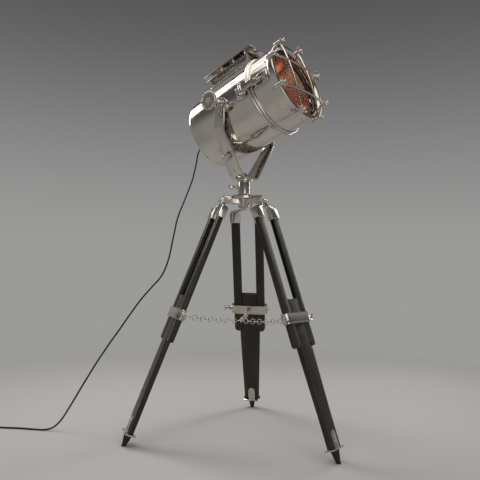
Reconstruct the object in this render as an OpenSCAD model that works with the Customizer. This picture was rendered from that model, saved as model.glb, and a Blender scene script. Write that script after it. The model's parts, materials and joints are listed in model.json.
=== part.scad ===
/* [Stance] */
// Radius of the circle that the three foot tips stand on
foot_circle_r = 452; // [380:1:520]
// Height of the leg hinge bolts above the floor
hinge_h = 939; // [900:1:980]
// Distance of a leg hinge bolt from the post axis
hinge_r = 90; // [86:1:110]
// Upward tilt of the head as it stands
tilt_rest = 20; // [0:1:30]

/* [Legs] */
// Width of a wooden rail
rail_w = 36; // [30:1:40]
// Thickness of a wooden rail
rail_t = 20; // [18:1:24]
// Clear gap between the two rails of a leg
rail_gap = 66; // [58:1:70]
// Distance from the hinge bolt to the rails' rounded ends
rail_end = 595; // [560:1:620]
// Depth of the groove in a rail's inner face
groove_depth = 12; // [8:0.5:14]
// Width of the groove
groove_w = 12; // [8:0.5:13]
// Distance from the hinge bolt to the top of the sliding lower leg
lower_top = 412; // [395:1:420]
// Width of the lower leg where it meets the shoe
lower_foot_w = 66; // [60:1:74]
// Size of the chamfer along the wooden edges
wood_chamfer = 2; // [1:0.5:3]
// Height of the metal cap on a rail's top
ferrule_h = 46; // [36:1:60]
// Wall of the metal cap
ferrule_wall = 3; // [2:0.5:4]
// Distance from the hinge bolt to the top of the metal cap
ferrule_top = 34; // [32:1:40]
// Radius of the hinge bolt
hinge_bolt_r = 5; // [4:0.5:6]
// Thickness of each hinge arm on a metal cap
hinge_arm_t = 8; // [6:1:9]
// Radius of the rounded hinge eyes
hinge_eye_r = 13; // [11:1:14]

/* [Clamps and feet] */
// Distance from the hinge bolt to the middle of the clamp band
clamp_at = 485; // [470:1:500]
// Height of the clamp band along the leg
clamp_h = 40; // [32:1:46]
// Wall of the clamp band over the rails' faces
clamp_wall = 6; // [5:0.5:8]
// Radius of the clamp screw
clamp_screw_r = 4; // [3:0.5:5]
// Thickness of the foot plate
shoe_plate_t = 5; // [4:0.5:7]
// Height of the foot plate's underside above the floor, along the leg
tip_len = 46; // [40:1:52]
// Radius of the rubber tip where it meets the foot plate
tip_top_r = 15; // [13:1:17]
// Radius of the rubber tip at the floor
tip_end_r = 9; // [8:1:12]

/* [Chain] */
// Radius of a chain link to the middle of its wire
link_r = 10; // [9:0.5:12]
// Radius of the chain's wire
link_wire_r = 1.5; // [1.2:0.1:1.8]
// Radius of the centre ring to the middle of its wire
centre_ring_r = 12; // [11:0.5:13]
// Sag of the chain at the centre ring
chain_sag = 20; // [14:1:26]

/* [Hub and post] */
// Radius of the hub plate
hub_r = 60; // [54:1:66]
// Thickness of the hub plate
hub_t = 12; // [10:1:16]
// Width of a hub lug between a leg's two hinge arms
lug_w = 24; // [20:1:28]
// Height of the yoke's base above the top of the hub plate
post_rise = 69; // [61:1:75]
// Outer radius of the post
post_r = 24; // [21:1:28]
// Radius of the yoke's spigot inside the post
spigot_r = 15; // [12:1:17]
// Length of the spigot inside the post
spigot_len = 48; // [40:1:52]
// Radius of the post's thumb screw
pan_screw_r = 4; // [3:0.5:5]

/* [Yoke] */
// Height of the head's tilt axis above the underside of the yoke's base
yoke_rise = 270; // [260:1:310]
// Thickness of the yoke's strap
yoke_t = 8; // [6:1:10]
// Width of the yoke's strap at the tilt axis
yoke_top_w = 44; // [38:1:50]
// Width of the yoke's strap at its base
yoke_base_w = 64; // [56:1:70]
// Half the length of the flat base between the bends
yoke_base_half = 36; // [35:1:46]
// Length of the upright part of an arm below the tilt axis
yoke_upright = 95; // [85:1:110]

/* [Head] */
// Outer radius of the rear drum
drum_r = 150; // [140:1:154]
// Wall of the drum and of the hood
shell_wall = 2.5; // [2:0.5:4]
// Distance from the tilt axis back to the drum's rear edge
drum_back = 198; // [188:1:204]
// Distance from the tilt axis forward to the joint with the hood
drum_front = 146; // [138:1:152]
// Radius of the rounding at the drum's rear edge
drum_round = 24; // [16:1:30]
// Radius of the flange beads
flange_r = 164; // [162:1:167]
// Width of each flange bead along the head
flange_w = 12; // [9:1:14]
// Outer radius of the front hood
hood_r = 155; // [152:1:157]
// Length of the hood from the joint to its front edge
hood_len = 108; // [100:1:116]
// Thickness of the front glass
glass_t = 4; // [3:0.5:5]
// Thickness of the bezel ring
bezel_t = 12; // [9:1:14]
// Radius of the clear opening in the bezel
bezel_open_r = 137; // [130:1:140]
// Thickness of the seal between glass and bezel
seal_t = 2; // [1.5:0.5:3]
// Radius of the circle of the eight wing nuts
guard_pcd_r = 163; // [162:1:165]
// Radius of a guard bar
guard_bar_r = 4.5; // [3.5:0.5:5]
// Bulge of the guard bars in front of the bezel
guard_bulge = 16; // [12:1:22]
// Depth of the reflector bowl
reflector_depth = 190; // [170:1:200]
// Radius of the reflector's mouth
reflector_r = 133; // [126:1:134]
// Radius of the bulb
bulb_r = 30; // [26:1:34]

/* [Tilt fittings] */
// Radius of the pivot stud
stud_r = 8; // [6:0.5:9]
// Radius of the hand wheel
wheel_r = 36; // [32:1:40]
// Thickness of the hand wheel
wheel_t = 14; // [10:1:18]
// Distance from the head's middle to a hand wheel's outer face
wheel_face_y = 236; // [228:1:244]
// Span of the tilt wing nuts
tilt_wing_span = 84; // [70:1:90]

/* [Vent] */
// Length of the vent's base on the drum
vent_base_l = 218; // [200:1:224]
// Width of the vent's base
vent_base_w = 100; // [90:1:106]
// Height of the vent base's rim above the drum's axis
vent_base_top = 168; // [164:1:172]
// Height of the middle plate above the drum's axis
vent_mid_z = 202; // [196:1:206]
// Height of the cap plate above the drum's axis
vent_cap_z = 226; // [220:1:232]
// Thickness of the vent's plates
vent_plate_t = 3.5; // [2.5:0.5:4]
// How far the cap plate reaches past the base, all round
vent_overhang = 8; // [6:1:12]
// Distance of the vent's middle in front of the tilt axis
vent_mid_x = 10; // [4:1:12]

/* [Door fittings] */
// Distance of the hood's hinge axis from the drum's axis
door_hinge_y = 172; // [171:1:176]
// Radius of the hood's hinge pin
door_pin_r = 4; // [3:0.5:4.5]
// Height of the hinge
door_hinge_h = 60; // [50:1:70]
// Distance of the latch pivot behind the joint with the hood
latch_back = 34; // [28:1:40]
// Distance of the latch pivot from the drum's axis
latch_pivot_y = 172; // [171:1:176]
// Height of the latch strap at its pivot
latch_w = 34; // [28:1:40]

/* [Cord] */
// Diameter of the mains cord
cord_d = 7; // [6:0.5:8]
// Length of the tapered strain relief
gland_len = 43; // [42:1:48]
// Turns of the stored coil
coil_turns = 5.5; // [4.5:1:6.5]
// Radius of the coil's innermost turn
coil_inner_r = 31; // [28:1:36]

/* [Hidden] */
$fn = 64;

front_az = 0;
back_az = 120;
left_az = 240;

// Clearances: between moving faces, and round a shaft in its hole
face_gap = 0.3;
shaft_gap = 0.05;

// Cutters larger than what they cut: the floor under the tips, and the drum's and hood's bores
floor_half = 2000;
floor_depth = 200;
bore_half = 400;

// The origin lies under the middle of the lamp without its cord: under the middle of the feet, but for the reach
// of a rear clamp's thumb screw past them
clamp_reach = 12.2;
axis_x = clamp_reach - foot_circle_r * (1 - cos(60)) / 2;
lean = atan((foot_circle_r - hinge_r) / hinge_h);
leg_len = norm([foot_circle_r - hinge_r, hinge_h]);

rail_y = (rail_gap + rail_w) / 2;
leg_half_w = rail_gap / 2 + rail_w;
rail_top = ferrule_top + 6;
tongue_clear = 0.4;
lower_half_w = rail_gap / 2 + groove_depth - tongue_clear;
lower_t = rail_t - 1;
lower_end = leg_len - tip_len - shoe_plate_t;
hinge_arm_y = lug_w / 2 + face_gap;

clamp_end_r = rail_t / 2 + clamp_wall + 2;
clamp_end_y = leg_half_w - 8;
clamp_half_l = clamp_end_y + clamp_end_r;
eye_x = rail_t / 2 + clamp_wall + 12;
eye_pin_r = 2.5;

shoe_plate_w = lower_foot_w + 10;
shoe_plate_d = rail_t + 20;

// The post stands on the hub plate, the yoke's base on the post, and the head's tilt axis lies above that base
hub_rise = 22;
post_foot = hinge_h + hub_rise;
yoke_base_h = post_foot + post_rise;
pivot_h = yoke_base_h + yoke_rise;
spigot_top = yoke_base_h + yoke_t;
collar_t = 6;
post_top = yoke_base_h - collar_t - face_gap;
pan_screw_az = 216;
pan_screw_h = (post_foot + post_top) / 2 + 6;

arm_inner_y = drum_r + 12;
arm_outer_y = arm_inner_y + yoke_t;
bezel_x = drum_front + hood_len;
glass_r = hood_r - shell_wall - 1;
bezel_r = hood_r + 5;
reflector_mouth_x = drum_front + 78;
reflector_back_x = reflector_mouth_x - reflector_depth;
gland_tip_x = -drum_back - gland_len;

// Moves an open line sideways to its left by a distance, with mitred corners
function normal(a, b) = [a[1] - b[1], b[0] - a[0]] / norm(b - a);
function beside(p, d) = [for (i = [0:len(p) - 1]) let (n = len(p) - 1, n1 = normal(p[max(i - 1, 0)], p[max(i, 1)]),
    n2 = normal(p[min(i, n - 1)], p[min(i + 1, n)])) p[i] + d * (n1 + n2) / (1 + n1 * n2)];
function arc(c, r, a0, a1, n) = [for (i = [0:n]) c + r * [cos(a0 + (a1 - a0) * i / n), sin(a0 + (a1 - a0) * i / n)]];

// Places: a leg's own frame has its hinge bolt on the Y axis and runs down along -Z, with +X outwards
module on_axis() translate([axis_x, 0, 0]) children();
module at_hinge(az) on_axis() rotate([0, 0, az]) translate([hinge_r, 0, hinge_h]) children();
module at_leg(az) at_hinge(az) rotate([0, -lean, 0]) children();
// The head's own frame has its tilt axis on Y and looks along +X
module at_head() on_axis() translate([0, 0, pivot_h]) rotate([0, -tilt_rest, 0]) children();
// Turns a shape made about Z so that it is made about X, or about Y
module about_x() rotate([0, 90, 0]) children();
module about_y() rotate([-90, 0, 0]) children();
// A ring or disc about X from a polygon of [radius, x] points
module spun(points) about_x() rotate_extrude() polygon(points);
module box(low, high) translate(low) cube(high - low);

module rod(r, h) cylinder(r = r, h = h);

// A wing nut standing on Z = 0, with its two wings along X
module wing_nut(bore, h, span, t) {
    hub_r = bore + h * 0.22 + 2;
    tip = h * 0.34;
    difference() {
        union() {
            cylinder(r1 = hub_r + 1, r2 = hub_r, h = h * 0.8);
            for (side = [0, 180]) rotate([90, 0, side]) linear_extrude(t, center = true) {
                translate([span / 2 - tip, h - tip * 0.2]) circle(tip);
                polygon([[bore + 0.5, 1], [hub_r + 1, 1], [span / 2 - tip * 0.5, h - tip * 0.9],
                    [span / 2 - tip, h + tip * 0.8], [hub_r, h * 0.78], [bore + 0.5, h * 0.78]]);
            }
        }
        translate([0, 0, -1]) rod(bore, h * 2 + 2);
    }
}

// ---- Tripod ----
module hub() {
    color("silver") on_axis() difference() {
        union() {
            translate([0, 0, post_foot - hub_t]) rod(hub_r, hub_t);
            translate([0, 0, hinge_h - 24]) cylinder(r1 = 22, r2 = 30, h = post_foot - hinge_h + 24 - hub_t + 0.1);
            translate([0, 0, hinge_h - 34]) cylinder(r = 14, h = 12, $fn = 6);
            for (az = [front_az, back_az, left_az]) rotate([0, 0, az]) {
                box([20, -lug_w / 2, hinge_h - hinge_eye_r + 3], [hinge_r, lug_w / 2, post_foot - 1]);
                translate([hinge_r, -lug_w / 2, hinge_h]) about_y() rod(hinge_eye_r, lug_w);
            }
        }
        for (az = [front_az, back_az, left_az]) rotate([0, 0, az])
            translate([hinge_r, -lug_w, hinge_h]) about_y() rod(hinge_bolt_r + shaft_gap, lug_w * 2);
        translate([0, 0, post_foot - hub_t - 20]) rod(spigot_r - 5, hub_t + 21);
    }
}

module post() {
    color("silver") on_axis() difference() {
        union() {
            translate([0, 0, post_foot]) rod(post_r, post_top - post_foot);
            translate([0, 0, post_foot]) rotate_extrude()
                polygon([[spigot_r, 0], [post_r + 9, 0], [post_r + 9, 3], [post_r + 4, 5], [post_r, 10], [spigot_r, 10]]);
            translate([0, 0, pan_screw_h]) rotate([0, 90, pan_screw_az]) rod(9, post_r + 5);
        }
        translate([0, 0, post_foot - 1]) rod(spigot_r + shaft_gap, post_top);
        translate([0, 0, pan_screw_h]) rotate([0, 90, pan_screw_az]) rod(pan_screw_r + shaft_gap, post_r + 10);
    }
}

module pan_lock_screw() {
    tip = spigot_r + face_gap;
    neck = post_r + 5 + face_gap;
    color("silver") on_axis() translate([0, 0, pan_screw_h]) rotate([0, 90, pan_screw_az]) {
        translate([0, 0, tip]) rod(pan_screw_r, neck + 26 - tip);
        translate([0, 0, neck + 1]) rod(pan_screw_r + 3, 5);
        // crescent thumb grip, open away from the post
        translate([0, 0, neck + 26]) rotate([90, 0, 90]) linear_extrude(9, center = true) difference() {
            circle(22);
            translate([0, 16]) circle(22);
            translate([-30, 10]) square([60, 20]);
        }
        translate([0, 0, neck + 4]) rod(pan_screw_r + 2, 5);
    }
}

module hinge_bolt(az) {
    grip = hinge_arm_y + hinge_arm_t + face_gap;
    color("silver") at_hinge(az) {
        translate([0, -grip, 0]) about_y() rod(hinge_bolt_r, grip * 2 + 14);
        translate([0, -grip - 5, 0]) about_y() cylinder(r = 9, h = 5, $fn = 6);
        translate([0, grip, 0]) about_y() rod(8.5, 1.6);
        translate([0, grip + 1.6, 0]) about_y() rotate([0, 0, 35]) wing_nut(hinge_bolt_r - 0.5, 10, 34, 3);
    }
}

module ferrule_block() {
    w = rail_w + 2 * ferrule_wall;
    t = rail_t + 2 * ferrule_wall;
    difference() {
        translate([-t / 2, -w / 2, -ferrule_top - ferrule_h]) cube([t, w, ferrule_h]);
        translate([-rail_t / 2 - shaft_gap, -rail_w / 2 - shaft_gap, -ferrule_top - ferrule_h - 1])
            cube([rail_t + 2 * shaft_gap, rail_w + 2 * shaft_gap, ferrule_h - 5]);
        // bevelled bottom edge, front and back
        for (side = [-1, 1]) translate([side * t / 2, 0, -ferrule_top - ferrule_h]) rotate([0, 45, 0])
            cube([3, w + 2, 3], center = true);
    }
}

module ferrules(az) {
    inner = hinge_arm_y;
    outer = inner + hinge_arm_t;
    foot_y = rail_y - rail_w / 2 - ferrule_wall;
    color("silver") at_leg(az) for (side = [0, 1]) mirror([0, side, 0]) difference() {
        union() {
            translate([0, rail_y, 0]) ferrule_block();
            rotate([90, 0, 90]) linear_extrude(rail_t - 2, center = true)
                polygon([[inner, -6], [inner, -ferrule_top + 8], [foot_y + 4, -ferrule_top - 1],
                    [rail_y + 12, -ferrule_top - 1], [rail_y + 12, -ferrule_top + 4],
                    [outer + 6, -ferrule_top + 12], [outer, -12], [outer, -6]]);
            translate([0, inner, 0]) about_y() rod(hinge_eye_r, hinge_arm_t);
        }
        translate([0, inner - 1, 0]) about_y() rod(hinge_bolt_r + shaft_gap, hinge_arm_t + 2);
    }
}

// Cross-section of a rail, with its groove facing -Y
module rail_section() {
    c = wood_chamfer;
    x = rail_t / 2;
    y = rail_w / 2;
    difference() {
        polygon([[-x + c, -y], [x - c, -y], [x, -y + c], [x, y - c], [x - c, y], [-x + c, y], [-x, y - c], [-x, -y + c]]);
        translate([-groove_w / 2, -y - 1]) square([groove_w, groove_depth + 1]);
    }
}

module rails(az) {
    color("#1c1917") at_leg(az) for (side = [0, 1]) mirror([0, side, 0]) intersection() {
        translate([0, rail_y, -rail_end]) linear_extrude(rail_end - rail_top) rail_section();
        union() {
            translate([-rail_t, rail_y - rail_w / 2 - 1, -rail_end + rail_w / 2])
                cube([rail_t * 2, rail_w + 2, rail_end]);
            translate([-rail_t, rail_y, -rail_end + rail_w / 2]) about_x() rod(rail_w / 2, rail_t * 2);
        }
    }
}

module clamp(az) {
    color("silver") at_leg(az) translate([0, 0, -clamp_at]) {
        difference() {
            union() {
                translate([0, 0, -clamp_h / 2]) linear_extrude(clamp_h) {
                    translate([-clamp_end_r, -clamp_end_y]) square([clamp_end_r * 2, clamp_end_y * 2]);
                    for (side = [-1, 1]) translate([0, side * clamp_end_y]) circle(clamp_end_r);
                }
                for (edge = [-1, 1]) translate([0, 0, edge * (clamp_h / 2 - 3) - 2]) linear_extrude(4) {
                    translate([-clamp_end_r - 1.5, -clamp_end_y]) square([clamp_end_r * 2 + 3, clamp_end_y * 2]);
                    for (side = [-1, 1]) translate([0, side * clamp_end_y]) circle(clamp_end_r + 1.5);
                }
                translate([0, clamp_half_l - 8, 0]) about_y() rod(clamp_screw_r + 5, 14);
                translate([0, -clamp_half_l - 3, 0]) about_y() rod(10, 5);
                translate([0, -clamp_half_l - 8.5, 0]) about_y() cylinder(r = 8, h = 6, $fn = 6);
                // ears for the chain's pin on the inner face
                for (side = [-1, 1]) translate([0, side * 6.5, 0]) {
                    box([-eye_x, -2.5, -6], [-rail_t / 2 - 2, 2.5, 6]);
                    translate([-eye_x, -2.5, 0]) about_y() rod(6, 5);
                }
                translate([-eye_x, -8, 0]) about_y() rod(eye_pin_r, 16);
            }
            box([-rail_t / 2 - shaft_gap, -leg_half_w - shaft_gap, -clamp_h], [rail_t / 2 + shaft_gap, leg_half_w + shaft_gap, clamp_h]);
            translate([0, leg_half_w - 2, 0]) about_y() rod(clamp_screw_r + shaft_gap, clamp_half_l - leg_half_w + 12);
        }
    }
}

module clamp_screw(az) {
    shoulder = clamp_half_l + 6 + face_gap;
    color("silver") at_leg(az) translate([0, 0, -clamp_at]) {
        translate([0, leg_half_w + face_gap, 0]) about_y() rod(clamp_screw_r, shoulder + 27 - leg_half_w - face_gap);
        translate([0, shoulder, 0]) about_y() rotate([0, 0, 60]) wing_nut(clamp_screw_r - 0.5, 11, 40, 3.5);
        translate([0, shoulder + 27, 0]) rotate([0, 30, 0]) translate([0, 0, -13]) rod(3.5, 26);
        translate([0, shoulder + 22, 0]) about_y() rod(clamp_screw_r + 1.5, 4);
    }
}

// Cross-section of the lower leg: a thick middle and two tongues that run in the grooves
module lower_section() {
    mid = rail_gap / 2 - tongue_clear;
    tongue = groove_w / 2 - tongue_clear;
    difference() {
        union() {
            translate([-lower_t / 2, -mid]) square([lower_t, mid * 2]);
            translate([-tongue, -lower_half_w]) square([tongue * 2, lower_half_w * 2]);
        }
        for (x = [-1, 1], y = [-1, 1]) translate([x * lower_t / 2, y * mid]) rotate(45)
            square(wood_chamfer * 1.414, center = true);
    }
}

module lower_leg(az) {
    color("#1c1917") at_leg(az) intersection() {
        translate([0, 0, -lower_end]) linear_extrude(lower_end - lower_top) lower_section();
        rotate([90, 0, 90]) linear_extrude(rail_t * 2, center = true)
            polygon([[-lower_half_w, -lower_top - 10], [-lower_half_w + 10, -lower_top], [lower_half_w - 10, -lower_top],
                [lower_half_w, -lower_top - 10], [lower_half_w, -rail_end - 20], [lower_foot_w / 2, -lower_end],
                [-lower_foot_w / 2, -lower_end], [-lower_half_w, -rail_end - 20]]);
    }
}

module shoe(az) {
    x = lower_t / 2 + shaft_gap;
    top = -lower_end + 62;
    color("silver") at_leg(az) {
        translate([-shoe_plate_d / 2, -shoe_plate_w / 2, -lower_end - shoe_plate_t])
            cube([shoe_plate_d, shoe_plate_w, shoe_plate_t - shaft_gap]);
        for (side = [0, 1]) mirror([side, 0, 0]) {
            difference() {
                union() {
                    box([x, -15, -lower_end - 1], [x + 4, 15, top - 15]);
                    translate([x, 0, top - 15]) about_x() rod(15, 4);
                }
                box([x - 1, -20, -lower_end - 2], [x, 20, top + 5]);
            }
            for (z = [top - 18, top - 42]) translate([x + 3, 0, z]) about_x() cylinder(r1 = 5, r2 = 3.5, h = 3.5);
        }
        // gusset between the outer strap and the plate
        rotate([90, 0, 0]) linear_extrude(5, center = true)
            polygon([[x + 3, -lower_end - 1], [shoe_plate_d / 2 - 1, -lower_end - 1], [x + 3, -lower_end + 30]]);
    }
}

module tip(az) {
    depth = leg_len - lower_end - shoe_plate_t;
    color("#141414") difference() {
        at_leg(az) translate([0, 0, -lower_end - shoe_plate_t]) rotate([180, 0, 0]) rotate_extrude()
            polygon([[0, 0.05], [tip_top_r + 2, 0.05], [tip_top_r + 2, 5], [tip_top_r, 7], [tip_end_r + 3, depth * 0.55],
                [tip_end_r, depth * 0.8], [tip_end_r, depth + 10], [0, depth + 10]]);
        box([-floor_half, -floor_half, -floor_depth], [floor_half, floor_half, 0]);
    }
}

// ---- Chain: one arm hangs from a clamp's pin towards the centre ring ----
link_pitch = 2 * (link_r - link_wire_r) - 0.5;
eye_radial = hinge_r + clamp_at * sin(lean) - eye_x * cos(lean);
eye_height = hinge_h - clamp_at * cos(lean) - eye_x * sin(lean);
open_gap = 3;
ring_edge = centre_ring_r + link_wire_r;
// height of the chain below its pin at a distance from the centre ring's axis
function chain_drop(x) = chain_sag * (1 - pow(x / eye_radial, 2));
function chain_slope(x) = atan(2 * chain_sag * x / pow(eye_radial, 2));

module chain_link(r, turn) rotate([turn, 0, 0]) rotate_extrude($fn = 24) translate([r, 0]) circle(link_wire_r, $fn = 16);

module chain(az, with_ring) {
    first = with_ring ? centre_ring_r + link_r - 2 * link_wire_r - 0.5 : ring_edge + open_gap + link_r + link_wire_r;
    hook_min = 34;
    count = floor((eye_radial - hook_min - first) / link_pitch) + 1;
    last = first + (count - 1) * link_pitch;
    hook_x = last + link_r - link_wire_r + 1.5;
    color("silver") on_axis() rotate([0, 0, az]) translate([0, 0, eye_height]) {
        for (i = [0:count - 1]) let (x = first + i * link_pitch)
            translate([x, 0, -chain_drop(x)]) rotate([0, -chain_slope(x), 0]) chain_link(link_r, i % 2 == 0 ? 90 : 0);
        if (with_ring) translate([0, 0, -chain_drop(0)]) chain_link(centre_ring_r, 0);
        chain_hook(hook_x, count % 2 == 0 ? 90 : 0);
    }
}

// A wire hook from the last link to the eye that turns on the clamp's pin
module chain_hook(hook_x, turn) {
    bend_r = 5;
    bend_x = hook_x + bend_r - 0.8;
    dx = eye_radial - bend_x - bend_r;
    dz = chain_drop(bend_x);
    rise = atan(dz / dx);
    translate([bend_x, 0, -dz]) rotate([0, -rise, 0]) {
        rotate([turn, 0, 0]) rotate_extrude($fn = 24) translate([bend_r, 0]) circle(link_wire_r, $fn = 16);
        translate([bend_r, 0, 0]) about_x() rod(link_wire_r, norm([dx, dz]) - 4);
    }
    translate([eye_radial, -3.5, 0]) about_y() difference() {
        rod(6, 7);
        translate([0, 0, -1]) rod(eye_pin_r + 0.3, 9);
    }
}

// ---- Yoke and tilt fittings ----
// Outer line of one arm in the Y-Z plane, from the base's bend to its top
knee = -yoke_upright;
base = -yoke_rise;
slope_foot = [yoke_base_half + 18, base + 8];
slope_head = [arm_outer_y - 5, knee - 14];
arm_outer = [[yoke_base_half, base], [yoke_base_half + 10, base + 2], slope_foot, slope_head,
    [arm_outer_y - 1.2, knee - 4], [arm_outer_y, knee + 6], [arm_outer_y, yoke_top_w]];
function flipped(p) = [for (i = [len(p) - 1:-1:0]) [-p[i][0], p[i][1]]];
function reversed(p) = [for (i = [len(p) - 1:-1:0]) p[i]];

module yoke() {
    arm_inner = beside(arm_outer, yoke_t);
    side_view = concat(arc([0, 0], yoke_top_w / 2, 0, 180, 20), [[-yoke_top_w / 2 - 2, knee],
        [-yoke_base_w / 2, base + 20], [-yoke_base_w / 2, base - 5], [yoke_base_w / 2, base - 5],
        [yoke_base_w / 2, base + 20], [yoke_top_w / 2 + 2, knee]]);
    color("silver") on_axis() translate([0, 0, pivot_h]) difference() {
        intersection() {
            rotate([90, 0, 90]) linear_extrude(yoke_base_w + 10, center = true)
                polygon(concat(arm_outer, reversed(arm_inner), flipped(reversed(arm_inner)), flipped(arm_outer)));
            rotate([90, 0, 0]) linear_extrude(arm_outer_y * 2 + 20, center = true) polygon(side_view);
        }
        translate([0, -arm_outer_y - 20, 0]) about_y() rod(stud_r + shaft_gap, arm_outer_y * 2 + 40);
        translate([0, 0, base - 1]) rod(10 + shaft_gap, yoke_t + 2);
        knob_place() translate([0, 0, -yoke_t - 1]) rod(4 + shaft_gap, yoke_t + 2);
    }
}

// The spot on the near arm's sloping part where the ribbed knob sits, Z outwards
knob_share = 0.53;
knob_at = slope_head + (slope_foot - slope_head) * knob_share;
slope_lean = atan((slope_head[0] - slope_foot[0]) / (slope_head[1] - slope_foot[1]));
module knob_place() translate([0, -knob_at[0], knob_at[1]]) rotate([90 + slope_lean, 0, 0]) children();

module arm_knob() {
    color("silver") on_axis() translate([0, 0, pivot_h]) knob_place() {
        rotate_extrude() polygon(concat([[0, shaft_gap], [9, shaft_gap]],
            [for (i = [0:4]) for (p = [[14, 2 + i * 5], [14, 5 + i * 5], [12, 5.6 + i * 5], [12, 6.4 + i * 5]]) p],
            [[12, 29], [9, 31], [0, 31]]));
        translate([0, 0, -yoke_t - 1]) rod(4, yoke_t + 2);
        translate([0, 0, -yoke_t - 6]) cylinder(r = 8, h = 6 - shaft_gap, $fn = 6);
    }
}

module yoke_spigot() {
    color("silver") on_axis() {
        translate([0, 0, yoke_base_h - collar_t]) rod(34, collar_t - shaft_gap);
        translate([0, 0, yoke_base_h - collar_t - spigot_len]) rod(spigot_r, spigot_len + 1);
        translate([0, 0, yoke_base_h - 1]) rod(10, yoke_t + 3);
        translate([0, 0, spigot_top + shaft_gap]) rotate_extrude()
            polygon([[0, 0], [17, 0], [17, 3], [14, 4], [14, 12], [11, 17], [6, 20], [0, 21]]);
    }
}

module tilt_nut(side) {
    color("silver") at_head() mirror([0, side < 0 ? 1 : 0, 0]) translate([0, arm_outer_y + face_gap, 0]) {
        about_y() difference() {
            rod(17, 4.5);
            translate([0, 0, -1]) rod(stud_r + shaft_gap, 8);
        }
        translate([0, 4, 0]) about_y() rotate([0, 0, side < 0 ? -155 : 25]) wing_nut(stud_r + shaft_gap, 22, tilt_wing_span, 6);
    }
}

module drum_bore(extra) about_x() translate([0, 0, -bore_half]) cylinder(r = drum_r + extra, h = 2 * bore_half, $fn = 200);
module hood_bore(extra) about_x() translate([0, 0, -bore_half]) cylinder(r = hood_r + extra, h = 2 * bore_half, $fn = 200);

module pivot_studs() {
    color("silver") at_head() for (side = [0, 1]) mirror([0, side, 0]) difference() {
        union() {
            translate([0, drum_r - 20, 0]) about_y() rod(30, arm_inner_y - face_gap - drum_r + 20);
            translate([0, arm_inner_y - 1, 0]) about_y() rod(stud_r, wheel_face_y - 3 - arm_inner_y);
            for (a = [45:90:315]) rotate([0, a, 0]) translate([23, arm_inner_y - face_gap - 1.5, 0]) about_y() rod(3, 1.4);
        }
        drum_bore(shaft_gap);
    }
}

module hand_wheels() {
    color("silver") at_head() for (side = [0, 1]) mirror([0, side, 0]) translate([0, wheel_face_y - wheel_t, 0]) about_y()
        difference() {
            rotate_extrude() polygon(concat([[0, 0], [wheel_r * 0.4, -6], [wheel_r * 0.45, 0]],
                arc([wheel_r - 4, 4], 4, -90, 0, 4), arc([wheel_r - 4, wheel_t - 4], 4, 0, 90, 4),
                [[wheel_r * 0.75, wheel_t - 1.5], [wheel_r * 0.32, wheel_t - 3], [wheel_r * 0.28, wheel_t], [0, wheel_t]]));
            translate([0, 0, -10]) rod(stud_r + shaft_gap, wheel_t + 6.5);
        }
}

// ---- Head ----
module drum_shell() {
    lip_r = drum_r - drum_round - 6;
    outer = concat([[lip_r, -drum_back]], arc([drum_r - drum_round, drum_round - drum_back], drum_round, -90, 0, 8), [[drum_r, drum_front - 1]]);
    inner = concat([[drum_r - shell_wall, drum_front - 1]],
        arc([drum_r - drum_round, drum_round - drum_back], drum_round - shell_wall, 0, -90, 8), [[lip_r, shell_wall - drum_back]]);
    color("silver") at_head() difference() {
        spun(concat(outer, inner));
        // hot air leaves through this opening under the vent
        translate([vent_mid_x, 0, drum_r]) cube([vent_base_l - 30, vent_base_w - 24, 60], center = true);
        for (side = [0, 1]) mirror([0, side, 0]) translate([0, drum_r - 20, 0]) about_y() rod(6, 18);
    }
}

module rear_cover() {
    cover_r = drum_r - drum_round - 2;
    face = -drum_back - shaft_gap;
    color("silver") at_head() difference() {
        union() {
            spun([[0, face], [cover_r, face], [cover_r, face - 3], [cover_r - 10, face - 5], [60, face - 5], [54, face - 9],
                [24, face - 11], [0, face - 11]]);
            for (a = [30:60:330]) rotate([a, 0, 0]) translate([face - 7.5, 0, cover_r - 14]) about_x() rod(5, 4);
        }
        translate([face - 12, 0, 0]) about_x() rod(cord_d, 20);
    }
}

module flange_ring() {
    mid = drum_front - face_gap / 2 - flange_w / 2;
    color("silver") at_head() difference() {
        spun(concat([[drum_r - shell_wall - 4, mid + flange_w / 2 - 0.8], [drum_r - shell_wall - 4, mid + flange_w / 2]],
            [[flange_r - 5, mid + flange_w / 2]], arc([flange_r - flange_w / 2, mid], flange_w / 2, 90, -90, 8),
            [[drum_r + shaft_gap, mid - flange_w / 2], [drum_r + shaft_gap, mid + flange_w / 2 - 0.8]]));
    }
}

module hood() {
    x0 = drum_front + face_gap / 2;
    bead = x0 + flange_w / 2;
    in_r = hood_r - shell_wall;
    ledge = bezel_x - seal_t - glass_t - 0.2;
    color("silver") at_head() difference() {
        spun(concat([[in_r, x0], [flange_r - 5, x0]], arc([flange_r - flange_w / 2, bead], flange_w / 2, -90, 90, 8),
            [[hood_r, bead + flange_w / 2], [hood_r, bezel_x - 0.1], [in_r, bezel_x - 0.1], [in_r, ledge],
                [in_r - 8, ledge], [in_r - 8, ledge - 3], [in_r, ledge - 3]]));
    }
    // small screws round the hood that hold the glass ledge
    color("silver") at_head() for (a = [22.5:45:337.5]) rotate([a, 0, 0])
        translate([ledge - 18, 0, hood_r - 1]) cylinder(r1 = 4, r2 = 2.8, h = 3.4);
}

module glass() {
    x = bezel_x - seal_t - glass_t - 0.1;
    color([0.8, 0.9, 0.9, 0.35]) at_head() translate([x, 0, 0]) about_x() rod(glass_r, glass_t);
}

module glass_seal() {
    x = bezel_x - seal_t - 0.05;
    color("#202020") at_head() spun([[bezel_open_r + 1, x], [glass_r, x], [glass_r, x + seal_t], [bezel_open_r + 1, x + seal_t]]);
}

guard_stud_r = 4;
stud_head_r = 7;
stud_head_t = 4;
guard_lug_back = 5;
module at_nuts() for (a = [22.5:45:337.5]) rotate([a, 0, 0]) translate([0, 0, guard_pcd_r]) children();

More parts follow.
